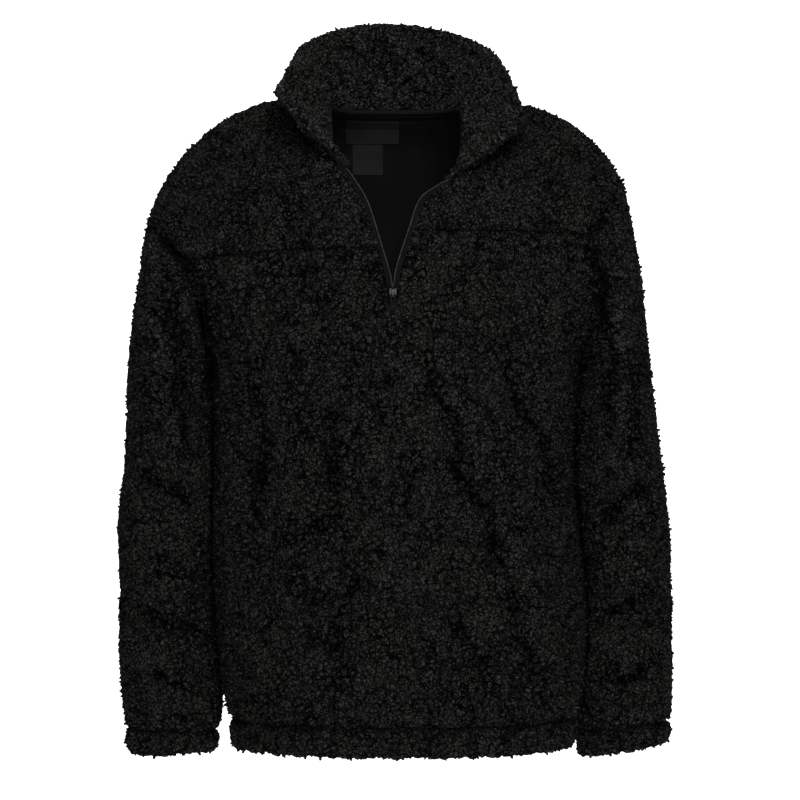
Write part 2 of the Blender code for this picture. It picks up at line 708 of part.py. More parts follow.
def opening_edge(side, cloth, marked):
    # The zip edge from the slit's end to the collar: places at mid wall, the way into the opening and
    # the normals.
    left = side == "left"
    columns = cloth["front_body"].shape[1]
    column = SHOULDER_COLUMNS if left else SHOULDER_COLUMNS + 1
    body_rows = range(marked["slit_end"], cloth["front_body"].shape[0])
    edge = [("front_body", r * columns + column) for r in body_rows]
    yoke = "front_yoke_" + side
    columns = cloth[yoke].shape[1]
    inner = columns - 1 if left else 0
    edge += [(yoke, r * columns + inner) for r in range(1, marked["zip_top"] + 1)]
    places = np.array([(cloth[n].outer[i] + cloth[n].inner[i]) / 2 for n, i in edge])
    normals = np.array([cloth[n].normals[i] for n, i in edge])
    along = unit(np.gradient(places, axis=0))
    into = unit(np.cross(normals, along))
    into *= np.sign(into[:, :1]) * (1 if left else -1)
    lowest = SLIDER_AT[1] + SLIDER_HEIGHT / 2 + 2 * SEAM_GAP
    places[0] += (places[1] - places[0]) * (lowest - places[0][2]) / (places[1][2] - places[0][2])
    places[-1] -= along[-1] * TAPE_STEP
    return places, into, normals


def collar_edge(side, collar):
    # The collar's front edge in the same three arrays.
    middle, facing = collar
    end, beside = (0, 1) if side == "left" else (-1, -2)
    return middle[2:, end], unit(middle[2:, end] - middle[2:, beside]), -facing[2:, end]


def add_tape(name, edge, group):
    places, into, normals = edge
    near, far = SEAM_GAP, SEAM_GAP + TAPE_WIDTH
    sheet = np.stack([places + into * near, places + into * far], axis=1)
    half = (normals * TAPE_WALL / 2)[:, None]
    faces = grid_faces(len(places), 2)
    wall_object(name, (sheet + half).reshape(-1, 3), (sheet - half).reshape(-1, 3), faces, "tape", group)


# A flat outline made thick: a 2D curve with holes, extruded both ways from its middle
def plate_object(name, outlines, thickness, finish, group):
    curve = bpy.data.curves.new(name, "CURVE")
    curve.dimensions = "2D"
    curve.fill_mode = "BOTH"
    curve.extrude = thickness / 2 * MM
    for outline in outlines:
        spline = curve.splines.new("POLY")
        spline.points.add(len(outline) - 1)
        spline.use_cyclic_u = True
        for point, (u, v) in zip(spline.points, outline):
            point.co = (u * MM, v * MM, 0, 1)
    flat = bpy.data.objects.new(name, curve)
    group.objects.link(flat)
    deps = bpy.context.evaluated_depsgraph_get()
    data = bpy.data.meshes.new_from_object(flat.evaluated_get(deps))
    bpy.data.objects.remove(flat)
    mesh = bmesh.new()
    mesh.from_mesh(data)
    bmesh.ops.remove_doubles(mesh, verts=mesh.verts, dist=1e-6)
    mesh.to_mesh(data)
    mesh.free()
    data.materials.clear()
    data.materials.append(material(finish))
    made = bpy.data.objects.new(name, data)
    group.objects.link(made)
    return made


def joined(target, tool):
    union = target.modifiers.new("join", "BOOLEAN")
    union.operation = "UNION"
    union.object = tool
    deps = bpy.context.evaluated_depsgraph_get()
    data = bpy.data.meshes.new_from_object(target.evaluated_get(deps))
    target.modifiers.clear()
    target.data = data
    bpy.data.objects.remove(tool)


def rounded_box(width, height, corner, steps=3):
    # An outline centred on the origin, anticlockwise from its right side.
    points = []
    for k in range(4):
        middle_x = (width / 2 - corner) * (1 if k in (0, 3) else -1)
        middle_y = (height / 2 - corner) * (1 if k in (0, 1) else -1)
        for i in range(steps + 1):
            angle = math.pi / 2 * (k + i / steps)
            points.append((middle_x + corner * math.cos(angle), middle_y + corner * math.sin(angle)))
    return points


def add_slider(front_y, group):
    # The slider's body lies between the two cloth edges, its bridge stands out in front and holds the pull.
    x, z = SLIDER_AT
    upright = Matrix.Rotation(math.pi / 2, 4, "X")
    sideways = Matrix.Rotation(math.pi / 2, 4, "Z") @ upright
    half = SLIDER_HEIGHT / 2
    shield = [(-SLIDER_WIDTH / 2, half), (-SLIDER_WIDTH / 2, half * 0.1), (-SLIDER_NECK / 2, -half),
              (SLIDER_NECK / 2, -half), (SLIDER_WIDTH / 2, half * 0.1), (SLIDER_WIDTH / 2, half),
              (0.9, half), (0, half * 0.55), (-0.9, half)]
    body_y = front_y + SLIDER_DEPTH / 2
    body = plate_object("zip_slider", [shield], SLIDER_DEPTH, "metal", group)
    body.matrix_world = Matrix.Translation(Vector((x, body_y, z)) * MM) @ upright
    bridge_middle = front_y - BRIDGE_STAND / 2 + BRIDGE_BAR / 2
    outer = rounded_box(BRIDGE_STAND + BRIDGE_BAR, BRIDGE_HEIGHT, 1.4)
    hole = rounded_box(BRIDGE_STAND - BRIDGE_BAR, BRIDGE_HEIGHT - 2 * BRIDGE_BAR, 0.4)[::-1]
    bridge = plate_object("bridge", [outer, hole], BRIDGE_WIDTH, "metal", group)
    bridge.matrix_world = Matrix.Translation(Vector((x, bridge_middle, z)) * MM) @ sideways
    bpy.context.view_layer.update()
    joined(body, bridge)
    return body


def add_pull(front_y, group):
    # The pull hangs from its top bar, which lies inside the bridge. Its origin is on the hinge.
    x, z = SLIDER_AT
    hinge = Vector((x, front_y - BRIDGE_STAND + BRIDGE_BAR + PULL_BAR / 2 + SEAM_GAP, z - PULL_DROP))
    plate = [(u, v + PULL_BAR / 2 - PULL_LENGTH / 2) for u, v in rounded_box(PULL_WIDTH, PULL_LENGTH, 1.6)]
    eye_middle = -PULL_BAR / 2 - PULL_EYE_LENGTH / 2
    eye = [(u, v + eye_middle) for u, v in rounded_box(PULL_EYE_WIDTH, PULL_EYE_LENGTH, 0.5)][::-1]
    pull = plate_object("zip_pull", [plate, eye], PULL_WALL, "metal", group)
    pull.matrix_world = Matrix.Translation(hinge * MM) @ Matrix.Rotation(math.pi / 2, 4, "X")
    return hinge


def main():
    for thing in list(bpy.data.objects):
        bpy.data.objects.remove(thing)
    group = bpy.data.collections.new("sherpa_pullover")
    bpy.context.scene.collection.children.link(group)

    cloth, marked = finished_panels()
    for name, piece in cloth.items():
        wall_object(name, piece.outer, piece.inner, piece.faces, "pile", group)
    collar = add_collar(cloth, marked, group)
    lining = add_lining(cloth, marked, group)
    add_labels(lining, group)
    for side in SIDES:
        add_tape("zip_tape_" + side, opening_edge(side, cloth, marked), group)
        add_tape("zip_tape_collar_" + side, collar_edge(side, collar[:2]), group)
    body = cloth["front_body"]
    pile_y = body.outer[marked["slit_end"] * body.shape[1] + SHOULDER_COLUMNS][1]
    add_slider(pile_y, group)
    add_pull(pile_y, group)


main()
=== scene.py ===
# Sherpa fleece quarter-zip pullover, filled out as when worn, with no wearer in it.
# Left and right are as seen from the front. Sizes are millimetres unless a note says otherwise.

import math
import re
from collections import namedtuple

import bmesh
import bpy
import numpy as np
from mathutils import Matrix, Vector
from mathutils.kdtree import KDTree


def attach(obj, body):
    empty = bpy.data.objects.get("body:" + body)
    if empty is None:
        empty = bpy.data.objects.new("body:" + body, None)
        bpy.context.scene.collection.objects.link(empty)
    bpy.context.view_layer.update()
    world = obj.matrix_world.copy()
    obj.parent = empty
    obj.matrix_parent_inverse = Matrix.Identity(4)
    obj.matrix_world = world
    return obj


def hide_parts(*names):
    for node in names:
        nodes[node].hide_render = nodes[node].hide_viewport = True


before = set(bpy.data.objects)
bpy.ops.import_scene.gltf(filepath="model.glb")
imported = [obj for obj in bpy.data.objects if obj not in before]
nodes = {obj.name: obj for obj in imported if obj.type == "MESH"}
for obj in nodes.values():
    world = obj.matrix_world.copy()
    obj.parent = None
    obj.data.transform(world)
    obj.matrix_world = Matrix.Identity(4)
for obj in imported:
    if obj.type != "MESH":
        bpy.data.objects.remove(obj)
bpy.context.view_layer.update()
garmentBody = "pullover"
sides = ("left", "right")
mm = 0.001

view = {
    # places and distances in metres, the sensor in millimetres
    "distance": 3.0,
    "x": 0.0043,
    "z": -0.325,
    "frameWidth": 0.8672,
    "farthest": 50.0,
    "sensor": 36.0,
}

studio = {
    # sizes and places in metres, powers in watts
    "key": {"size": 1.2, "power": 78, "place": (0.8, -2.5, 1.9)},
    "fill": {"size": 2.0, "power": 6, "place": (-1.9, -2.2, 0.9)},
    "front": {"size": 1.6, "power": 54, "place": (0.1, -3.2, 0.7)},
    "top": {"size": 1.4, "power": 8, "place": (0.0, 0.4, 2.0)},
    "back": {"size": 1.6, "power": 30, "place": (0.6, 2.4, 0.6)},
    "sky": 0.3,
    "aim": (0.0, 0.0, -0.2),
}

stage = {
    # in metres
    "floor": -1.5,
    "width": 9.0,
    "front": -4.5,
    "bend": 2.6,  # where the floor starts to bend up
    "bendSize": 1.2,
    "bendSteps": 12,
    "height": 5.6,
    "paper": 0.8,  # its grey
    "glow": 0.85,
}


def link(made):
    bpy.context.scene.collection.objects.link(made)
    return made


def addCamera():
    data = bpy.data.cameras.new("camera")
    data.sensor_width = view["sensor"]
    data.lens = view["sensor"] * view["distance"] / view["frameWidth"]
    data.clip_end = view["farthest"]
    camera = link(bpy.data.objects.new("camera", data))
    camera.location = (view["x"], -view["distance"], view["z"])
    camera.rotation_euler = (math.pi / 2, 0, 0)
    bpy.context.scene.camera = camera
    bpy.context.scene.view_settings.view_transform = "Standard"  # white paper stays white


def addLights():
    for name in ("key", "fill", "front", "top", "back"):
        spec = studio[name]
        data = bpy.data.lights.new(name, "AREA")
        data.size = spec["size"]
        data.energy = spec["power"]
        light = link(bpy.data.objects.new(name, data))
        light.location = spec["place"]
        aim = Vector(studio["aim"]) - Vector(spec["place"])
        light.rotation_euler = aim.to_track_quat("-Z", "Y").to_euler()
    world = bpy.data.worlds.new("sky")
    world.use_nodes = True
    graph = Graph(world.node_tree)
    sky = world.node_tree.nodes["Background"]
    sky.inputs["Color"].default_value = (1, 1, 1, 1)
    seen = graph.add("ShaderNodeLightPath").outputs["Is Camera Ray"]
    graph.wire(sky.inputs["Strength"], graph.span(seen, 0.0, 1.0, studio["sky"], 1.0))  # white behind it all
    bpy.context.scene.world = world


def addStage():
    # A floor that bends up into a wall behind the garment.
    profile = [(stage["front"], 0.0)]
    for k in range(stage["bendSteps"] + 1):
        turn = math.pi / 2 * k / stage["bendSteps"]
        profile.append((stage["bend"] + stage["bendSize"] * math.sin(turn),
                        stage["bendSize"] * (1 - math.cos(turn))))
    profile.append((stage["bend"] + stage["bendSize"], stage["height"]))
    mesh = bmesh.new()
    edges = []
    for x in (-stage["width"] / 2, stage["width"] / 2):
        edges.append([mesh.verts.new((x, y, stage["floor"] + z)) for y, z in profile])
    for k in range(len(profile) - 1):
        mesh.faces.new([edges[0][k], edges[1][k], edges[1][k + 1], edges[0][k + 1]])
    backdrop = meshObject("backdrop", mesh, None)
    backdrop.data.shade_smooth()
    paper = bpy.data.materials.new("paleBackdrop")
    paper.use_nodes = True
    shader = paper.node_tree.nodes["Principled BSDF"]
    shader.inputs["Base Color"].default_value = (*[stage["paper"]] * 3, 1)
    shader.inputs["Roughness"].default_value = 0.95
    shader.inputs["Emission Color"].default_value = (1, 1, 1, 1)
    shader.inputs["Emission Strength"].default_value = stage["glow"]
    backdrop.data.materials.append(paper)


def meshObject(name, mesh, finish):
    # Hands a bmesh over to a new object.
    data = bpy.data.meshes.new(name)
    mesh.to_mesh(data)
    mesh.free()
    if finish:
        data.materials.append(finish)
    return link(bpy.data.objects.new(name, data))


def applyAll(made):
    graph = bpy.context.evaluated_depsgraph_get()
    data = bpy.data.meshes.new_from_object(made.evaluated_get(graph))
    made.modifiers.clear()
    old = made.data
    made.data = data
    bpy.data.meshes.remove(old)
    return made


def triangles(made):
    return sum(len(face.vertices) - 2 for face in made.data.polygons)


class Graph:
    # Makes nodes and wires them by their sockets' names or numbers.
    def __init__(self, tree):
        self.tree = tree

    def add(self, kind, wires=None, **settings):
        node = self.tree.nodes.new(kind)
        for key, value in settings.items():
            setattr(node, key, value)
        for socket, value in (wires or {}).items():
            self.wire(node.inputs[socket], value)
        return node

    def wire(self, socket, value):
        if isinstance(value, bpy.types.NodeSocket):
            self.tree.links.new(value, socket)
        elif isinstance(value, bpy.types.Node):
            self.tree.links.new(value.outputs[0], socket)
        else:
            socket.default_value = value

    def math(self, operation, a, b=None):
        wires = {0: a} if b is None else {0: a, 1: b}
        return self.add("ShaderNodeMath", wires, operation=operation).outputs[0]

    def plus(self, a, b):
        return self.math("ADD", a, b)

    def less(self, a, b):
        return self.math("SUBTRACT", a, b)

    def times(self, a, b):
        return self.math("MULTIPLY", a, b)

    def vector(self, operation, a, b=None):
        node = self.add("ShaderNodeVectorMath", {0: a}, operation=operation)
        if operation == "SCALE":
            self.wire(node.inputs["Scale"], b)
        elif b is not None:
            self.wire(node.inputs[1], b)
        return node.outputs[0]

    def span(self, value, low, high, newLow=0.0, newHigh=1.0, smooth=False):
        # Maps low..high onto newLow..newHigh and holds it there.
        wires = {0: value, 1: low, 2: high, 3: newLow, 4: newHigh}
        kind = "SMOOTHSTEP" if smooth else "LINEAR"
        return self.add("ShaderNodeMapRange", wires, interpolation_type=kind).outputs[0]

    def noise(self, place, size, detail=1.0, output=0):
        wires = {"Vector": place, "Scale": self.perMetre(size), "Detail": detail}
        return self.add("ShaderNodeTexNoise", wires).outputs[output]

    def push(self, place, size, far, detail=1.0):
        # How a noise of this size shifts a place, up to about far millimetres.
        shift = self.vector("SUBTRACT", self.noise(place, size, detail, 1), (0.5, 0.5, 0.5))
        return self.vector("SCALE", shift, self.times(far, 2 * mm))

    def edges(self, place, size):
        wires = {"Vector": place, "Scale": self.perMetre(size)}
        return self.add("ShaderNodeTexVoronoi", wires, feature="DISTANCE_TO_EDGE").outputs["Distance"]

    def nearest(self, geometry, element):
        return self.add("GeometryNodeProximity", {"Geometry": geometry}, target_element=element).outputs

    def perMetre(self, size):
        return self.math("DIVIDE", 1000.0, size) if isinstance(size, bpy.types.NodeSocket) else 1000.0 / size

    def wave(self, value, pitch):
        return self.math("SINE", self.times(value, 2 * math.pi / pitch))

    def attribute(self, name, output="Fac"):
        return self.add("ShaderNodeAttribute", attribute_name=name).outputs[output]

    def objectPlace(self):
        return self.add("ShaderNodeTexCoord").outputs["Object"]

    def partsOf(self, place):
        return self.add("ShaderNodeSeparateXYZ", {0: place}).outputs

    def crown(self, share):
        # A round top: 0 at the edge, 1 in the middle.
        low = self.less(1.0, share)
        return self.less(1.0, self.times(low, low))

    def mix(self, share, low, high):
        node = self.add("ShaderNodeMix", {"Factor": share}, data_type="RGBA")
        for socket, value in ((node.inputs["A"], low), (node.inputs["B"], high)):
            self.wire(socket, value if isinstance(value, bpy.types.NodeSocket) else (*value, 1))
        return node.outputs["Result"]


def inputName(key):
    return re.sub("([A-Z])", r" \1", key).title()


def newTree(name, sizes, objects=()):
    # A tree with an input for each size, one for each helper object and one for the material.
    tree = bpy.data.node_groups.new(name, "GeometryNodeTree")
    tree.interface.new_socket("Geometry", in_out="INPUT", socket_type="NodeSocketGeometry")
    for key in sizes:
        tree.interface.new_socket(inputName(key), in_out="INPUT", socket_type="NodeSocketFloat")
    for key in objects:
        tree.interface.new_socket(inputName(key), in_out="INPUT", socket_type="NodeSocketObject")
    tree.interface.new_socket("Material", in_out="INPUT", socket_type="NodeSocketMaterial")
    tree.interface.new_socket("Geometry", in_out="OUTPUT", socket_type="NodeSocketGeometry")
    graph = Graph(tree)
    outputs = graph.add("NodeGroupInput").outputs
    given = {key: outputs[inputName(key)] for key in (*sizes, *objects)}
    given["geometry"] = outputs["Geometry"]
    given["material"] = outputs["Material"]
    return tree, graph, given


def endTree(tree, graph, given, geometry):
    real = graph.add("GeometryNodeRealizeInstances", {0: geometry})
    painted = graph.add("GeometryNodeSetMaterial", {0: real, "Material": given["material"]})
    tree.links.new(painted.outputs[0], graph.add("NodeGroupOutput").inputs[0])
    return tree


def growWith(made, tree, sizes, material, **objects):
    # Runs a tree on an object and keeps the plain mesh.
    modifier = made.modifiers.new(tree.name, "NODES")
    modifier.node_group = tree
    values = {inputName(key): float(value) for key, value in sizes.items()}
    values.update({inputName(key): value for key, value in objects.items()})
    values["Material"] = material
    for item in tree.interface.items_tree:
        if item.item_type == "SOCKET" and item.in_out == "INPUT" and item.name in values:
            modifier[item.identifier] = values[item.name]
    return applyAll(made)


pile = {
    "clump": 8.6,  # width of a clump
    "clumpGap": 0.13,  # share of a clump's width that falls away to its edge
    "partGap": 0.14,  # how much more of it does where a crease parts the pile
    "curl": 4.1,  # width of the curls on it
    "curlEdge": 0.2,  # share of a curl's width that falls away to its edge
    "warp": 5.0,  # how far the clumps are pushed out of round
    "warpSize": 14.0,
    "fray": 1.7,  # how ragged their edges are
    "fraySize": 4.0,
    "crack": 20.0,  # width of the fields between the long cracks
    "crackEdge": 0.085,  # share of that width that falls away to the crack
    "crackStretch": 0.6,  # of the fields' true height: under 1 the cracks run up and down
    "crackWarp": 12.0,
    "crackWarpSize": 40.0,
    "crackField": 48.0,  # size of the places with and without cracks
    "crackDepth": 2.2,
    "partedField": 26.0,  # size of the places where clumps stand apart or grow together
    "patchField": 45.0,  # size of the places with high and low pile
    "rise": 4.2,  # height of a clump over its crevice
    "riseBase": 0.8,  # share of the rise that lies below the wall's face
    "curlRise": 2.4,
    "curlBase": 0.7,
    "fuzz": 2.0,
    "fuzzSize": 2.6,
    "lift": 0.5,  # how far the middle of the pile stands proud of the wall
    "seamDip": 2.0,
    "seamReach": 6.5,
    "seamStray": 9.0,  # how uneven the dip's width is
    "seamStraySize": 9.0,
    "rimNear": 0.8,  # the pile fades out between these two depths below the face, down a rim
    "rimFar": 5.5,
    "wiggle": 1.6,  # how far a seam line strays
    "wiggleSize": 13.0,
    "lean": 4.0,  # how far the pile leans over the zip's tapes
    "leanNear": 2.0,  # the whole of it up to here from their middle, none from leanReach
    "leanReach": 9.0,
}
pileSpans = {
    # from, to, and the value at each end
    "cracks": (0.36, 0.56, 0.15, 1.0),
    "parted": (0.40, 0.58, 0.4, 0.95),
    "patch": (0.35, 0.65, 0.8, 1.2),
    "nearSeam": (0.0, 1.0, 0.5, 1.0),
}
turnedPile = {"seamDip": 0.7, "lift": 0.8}  # hem and cuffs: their groove is in the wall itself
pileTints = {
    # painted shade: the near black that the pile's colour falls to down between the clumps
    "crevicePaintedShade": (0.0002, 0.0002, 0.0003),
    "olive": (0.0204, 0.0204, 0.0184),
    "blue": (0.0195, 0.0197, 0.0203),
}
facingPaintedLight = 1.5  # painted light: how much lighter the collar's facing, in shade inside the collar, is coloured than the rest of the same pile
pileVoxel = {"front_body": 2.35, "back": 2.6, "sleeve": 2.35, "other": 2.05}


def pilePattern(graph, place, part, sizes):
    # How high a point lies on its clump, on its curl and between the cracks, each 0 to 1.
    moved = graph.vector("ADD", place, graph.push(place, sizes["warpSize"], sizes["warp"], 2.0))
    moved = graph.vector("ADD", moved, graph.push(place, sizes["fraySize"], sizes["fray"]))
    gapWidth = graph.plus(sizes["clumpGap"], graph.times(part, sizes["partGap"]))
    clump = graph.span(graph.edges(moved, sizes["clump"]), 0.0, gapWidth)
    curl = graph.span(graph.edges(moved, sizes["curl"]), 0.0, sizes["curlEdge"])
    lines = graph.vector("ADD", moved, graph.push(place, sizes["crackWarpSize"], sizes["crackWarp"], 2.0))
    stretch = graph.add("ShaderNodeCombineXYZ", {0: 1.0, 1: 1.0, 2: sizes["crackStretch"]})
    lines = graph.vector("MULTIPLY", lines, stretch)
    crack = graph.span(graph.edges(lines, sizes["crack"]), 0.0, sizes["crackEdge"])
    cracks = graph.span(graph.noise(place, sizes["crackField"], 2.0), *pileSpans["cracks"])
    crack = graph.less(1.0, graph.times(graph.less(1.0, crack), cracks))
    parted = graph.span(graph.noise(place, sizes["partedField"], 2.0), *pileSpans["parted"])
    parted = graph.math("MINIMUM", graph.plus(parted, part), 1.0)
    gap = graph.times(graph.less(1.0, clump), parted)
    return graph.less(1.0, gap), curl, crack


def pileTree():
    tree, graph, given = newTree("pile", pile, ("guide", "seams", "zip"))
    place = graph.add("GeometryNodeInputPosition").outputs[0]

    def store(geometry, name, value, kind="FLOAT"):
        node = graph.add("GeometryNodeStoreNamedAttribute", {"Geometry": geometry, "Name": name},
                         data_type=kind, domain="POINT")
        graph.wire(node.inputs["Value"], value)
        return node.outputs[0]

    def stored(name):
        return graph.add("GeometryNodeInputNamedAttribute", {"Name": name}, data_type="FLOAT").outputs[0]

    clump, curl, crack = pilePattern(graph, place, stored("part"), given)
    patch = graph.span(graph.noise(place, given["patchField"]), *pileSpans["patch"])
    rise = graph.times(graph.less(graph.crown(clump), given["riseBase"]), given["rise"])
    small = graph.times(graph.less(graph.crown(curl), given["curlBase"]), given["curlRise"])
    fuzz = graph.times(graph.less(graph.noise(place, given["fuzzSize"]), 0.5), given["fuzz"])
    height = graph.times(graph.plus(graph.plus(rise, small), fuzz), patch)
    height = graph.less(height, graph.times(graph.less(1.0, crack), given["crackDepth"]))

    # The dip at the seams, its width as uneven as the pile.
    seams = graph.add("GeometryNodeObjectInfo", {"Object": given["seams"]}).outputs["Geometry"]
    away = graph.nearest(seams, "EDGES")["Distance"]
    uneven = graph.less(graph.noise(place, given["seamStraySize"]), 0.5)
    away = graph.plus(away, graph.times(uneven, graph.times(given["seamStray"], mm)))
    clear = graph.span(away, 0.0, graph.times(given["seamReach"], mm), smooth=True)
    dip = graph.times(graph.less(1.0, clear), given["seamDip"])
    height = graph.less(graph.times(height, graph.span(clear, *pileSpans["nearSeam"])), dip)
    height = graph.plus(graph.plus(height, given["lift"]), stored("fold"))

    # Out from the wall's face, less and less down its rims.
    guide = graph.add("GeometryNodeObjectInfo", {"Object": given["guide"]}).outputs["Geometry"]
    normal = graph.add("GeometryNodeInputNormal").outputs[0]
    sampled = graph.add("GeometryNodeSampleNearestSurface", {"Mesh": guide, "Value": normal},
                        data_type="FLOAT_VECTOR").outputs["Value"]
    outward = graph.vector("NORMALIZE", sampled)
    depth = graph.nearest(guide, "FACES")["Distance"]
    rimNear, rimFar, leanNear, leanReach = (graph.times(given[key], mm)
                                            for key in ("rimNear", "rimFar", "leanNear", "leanReach"))
    share = graph.span(depth, rimNear, rimFar, 1.0, 0.0)
    stray = graph.push(place, given["wiggleSize"], graph.times(given["wiggle"], share))
    offset = graph.vector("SCALE", outward, graph.times(graph.times(height, share), mm))
    offset = graph.vector("ADD", offset, stray)

    # Over the zip's tapes.
    tapes = graph.add("GeometryNodeObjectInfo", {"Object": given["zip"]}).outputs["Geometry"]
    beside = graph.nearest(tapes, "EDGES")
    towards = graph.vector("NORMALIZE", graph.vector("SUBTRACT", beside["Position"], place))
    lean = graph.span(beside["Distance"], leanNear, leanReach, graph.times(given["lean"], mm), 0.0)
    offset = graph.vector("ADD", offset, graph.vector("SCALE", towards, lean))

    geometry = store(given["geometry"], "rest", place, "FLOAT_VECTOR")
    # kept for the material too, which paints shade into the seams' dips from it
    geometry = store(geometry, "clear", clear)
    moved = graph.add("GeometryNodeSetPosition", {"Geometry": geometry, "Offset": offset})
    return endTree(tree, graph, given, moved)


tufts = {
    "perMetre": 13000.0,  # in a square metre
    "length": 3.3,
    "root": 1.9,  # radii of a tuft's foot and tip
    "tip": 1.1,
    "sway": 2.2,  # how far it leans over
    "swaySize": 3.1,
    "sink": 1.2,  # how deep its foot stands in the pile
    "smallest": 0.6,  # the range of their sizes, 1 being as above
    "largest": 1.25,
}
tuftSeeds = {"places": 11, "sizes": 5}


def tuftTree():
    # Short locks all over the pile, each leaning its own way.
    tree, graph, given = newTree("tufts", tufts)
    spread = graph.add("GeometryNodeDistributePointsOnFaces",
                       {"Mesh": given["geometry"], "Density": given["perMetre"],
                        "Seed": tuftSeeds["places"]}).outputs
    place = graph.add("GeometryNodeInputPosition").outputs[0]
    away = graph.vector("SUBTRACT", graph.noise(place, given["swaySize"], 1.0, 1), (0.5, 0.5, 0.5))
    towards = graph.vector("ADD", spread["Normal"], graph.vector("SCALE", away, given["sway"]))
    turn = graph.add("FunctionNodeAlignRotationToVector", {"Vector": towards}, axis="Z")
    lock = graph.add("GeometryNodeMeshCone", {
        "Vertices": 3, "Side Segments": 1, "Radius Top": graph.times(given["tip"], mm),
        "Radius Bottom": graph.times(given["root"], mm), "Depth": graph.times(given["length"], mm)})
    size = graph.add("FunctionNodeRandomValue", data_type="FLOAT")
    wanted = {"Min": given["smallest"], "Max": given["largest"], "Seed": tuftSeeds["sizes"]}
    for socket in size.inputs:
        if socket.enabled and socket.name in wanted:
            graph.wire(socket, wanted[socket.name])
    scale = next(socket for socket in size.outputs if socket.enabled)
    down = graph.vector("SCALE", spread["Normal"], graph.times(given["sink"], -mm))
    points = graph.add("GeometryNodeSetPosition", {"Geometry": spread["Points"], "Offset": down})
    locks = graph.add("GeometryNodeInstanceOnPoints",
                      {"Points": points, "Instance": lock.outputs["Mesh"], "Rotation": turn, "Scale": scale})
    return endTree(tree, graph, given, locks)


def newMaterial(name, roughness, specular):
    made = bpy.data.materials.new(name)
    made.use_nodes = True
    shader = made.node_tree.nodes["Principled BSDF"]
    shader.inputs["Roughness"].default_value = roughness
    shader.inputs["Specular IOR Level"].default_value = specular
    return made, Graph(made.node_tree), shader


def addBump(graph, shader, height, depth, strength):
    bump = graph.add("ShaderNodeBump", {"Height": height, "Distance": depth * mm, "Strength": strength})
    graph.wire(shader.inputs["Normal"], bump)


cloudRange = (0.3, 0.7)  # what a noise mostly keeps between
pileGrain = {"fine": 2.0, "speckle": 6.0, "cloud": 40.0, "tint": 95.0}
pileToneAndPaintedShade = {
    # each reading, from and to, and the tone at each end: clump, curl, crack, clear, part and fold are
    # painted shade, fine, speckle and cloud the pile's own uneven tone
    # painted shade down between the clumps and their curls
    "clump": (0.1, 0.9, 0.0, 1.0),
    "curl": (0.0, 0.85, 0.0, 1.0),
    "fine": (0.36, 0.62, 0.2, 1.3),
    "speckle": (*cloudRange, 0.75, 1.2),
    "cloud": (*cloudRange, 0.92, 1.08),
    # painted shade down the cracks
    "crack": (0.0, 1.0, 0.3, 1.0),
    "clear": (0.0, 1.0, 0.7, 1.0),  # painted shade in the dip at a seam
    # painted shade where a crease parts the pile
    "part": (0.0, 1.0, 1.0, 0.85),
    "fold": (-4.0, 3.0, 0.55, 1.15),  # painted shade down in the creases, painted light on their ridges
}
tintSpan = (0.42, 0.58)  # the narrower, the harder the olive and blue places part
pileBump = {"clump": 2.0, "curl": 1.2, "fine": 1.4, "strength": 0.9}


def sherpaPile(name, share=1.0):
    made, graph, shader = newMaterial(name, 0.95, 0.015)
    rest = graph.attribute("rest", "Vector")
    part = graph.attribute("part")
    clump, curl, crack = pilePattern(graph, rest, part, pile)
    fine = graph.noise(rest, pileGrain["fine"], 2.0)
    readings = {
        "clump": clump,
        "curl": curl,
        "fine": fine,
        "speckle": graph.noise(rest, pileGrain["speckle"]),
        "cloud": graph.noise(rest, pileGrain["cloud"], 2.0),
        "crack": crack,
        "clear": graph.attribute("clear"),
        "part": part,
        "fold": graph.attribute("fold"),
    }
    # The tone paints shade into the pile's colour: near black down in the crevices, cracks, seam dips,
    # partings and creases, lighter on the crease ridges; fine, speckle and cloud add the pile's own uneven
    # tone.
    tone = 1.0
    for key, limits in pileToneAndPaintedShade.items():
        tone = graph.times(tone, graph.span(readings[key], *limits))
    # share colours the whole pile lighter; the collar's facing uses it as painted light against its shade
    # inside the collar
    olive, blue = ([c * share for c in pileTints[key]] for key in ("olive", "blue"))
    tint = graph.mix(graph.span(graph.noise(rest, pileGrain["tint"]), *tintSpan), olive, blue)
    graph.wire(shader.inputs["Base Color"], graph.mix(tone, pileTints["crevicePaintedShade"], tint))
    big = graph.times(graph.crown(clump), pileBump["clump"])
    small = graph.times(graph.crown(curl), pileBump["curl"])
    heights = graph.plus(graph.plus(big, small), graph.times(fine, pileBump["fine"]))
    addBump(graph, shader, heights, 1.0, pileBump["strength"])
    return made


knit = {
    "courseShare": 0.8,  # height of a row of loops, against the width of a rib
    "wale": 0.35,  # how much the ribs and the rows stand out
    "course": 0.2,
    "cloud": 22.0,
    "shade": 0.25,  # how much the loops show in the colour
    "depth": 0.2,
}


def fineKnit(name, colour, rib, roughness=0.8, specular=0.05):
    # A jersey face: fine ribs crossed by rows of loops, on a slightly clouded ground.
    made, graph, shader = newMaterial(name, roughness, specular)
    place = graph.objectPlace()
    parts = graph.partsOf(place)
    wale = graph.times(graph.wave(parts["X"], rib * mm), knit["wale"])
    course = graph.times(graph.wave(parts["Z"], rib * knit["courseShare"] * mm), knit["course"])
    loops = graph.plus(wale, course)
    cloud = graph.span(graph.noise(place, knit["cloud"], 4.0), *cloudRange, 0.25, 0.75)
    tone = graph.plus(cloud, graph.times(loops, knit["shade"]))
    low, high = ([c * share for c in colour] for share in (0.6, 1.4))
    graph.wire(shader.inputs["Base Color"], graph.mix(tone, low, high))
    addBump(graph, shader, loops, knit["depth"], 0.5)
    return made


weave = {
    "row": 1.4,  # width of a row of the herringbone
    "rib": 0.9,
    "cloud": 9.0,
    "shade": 0.25,
    "depth": 0.15,
    "dark": (0.0020, 0.0020, 0.0024),
    "light": (0.0046, 0.0046, 0.0056),
}


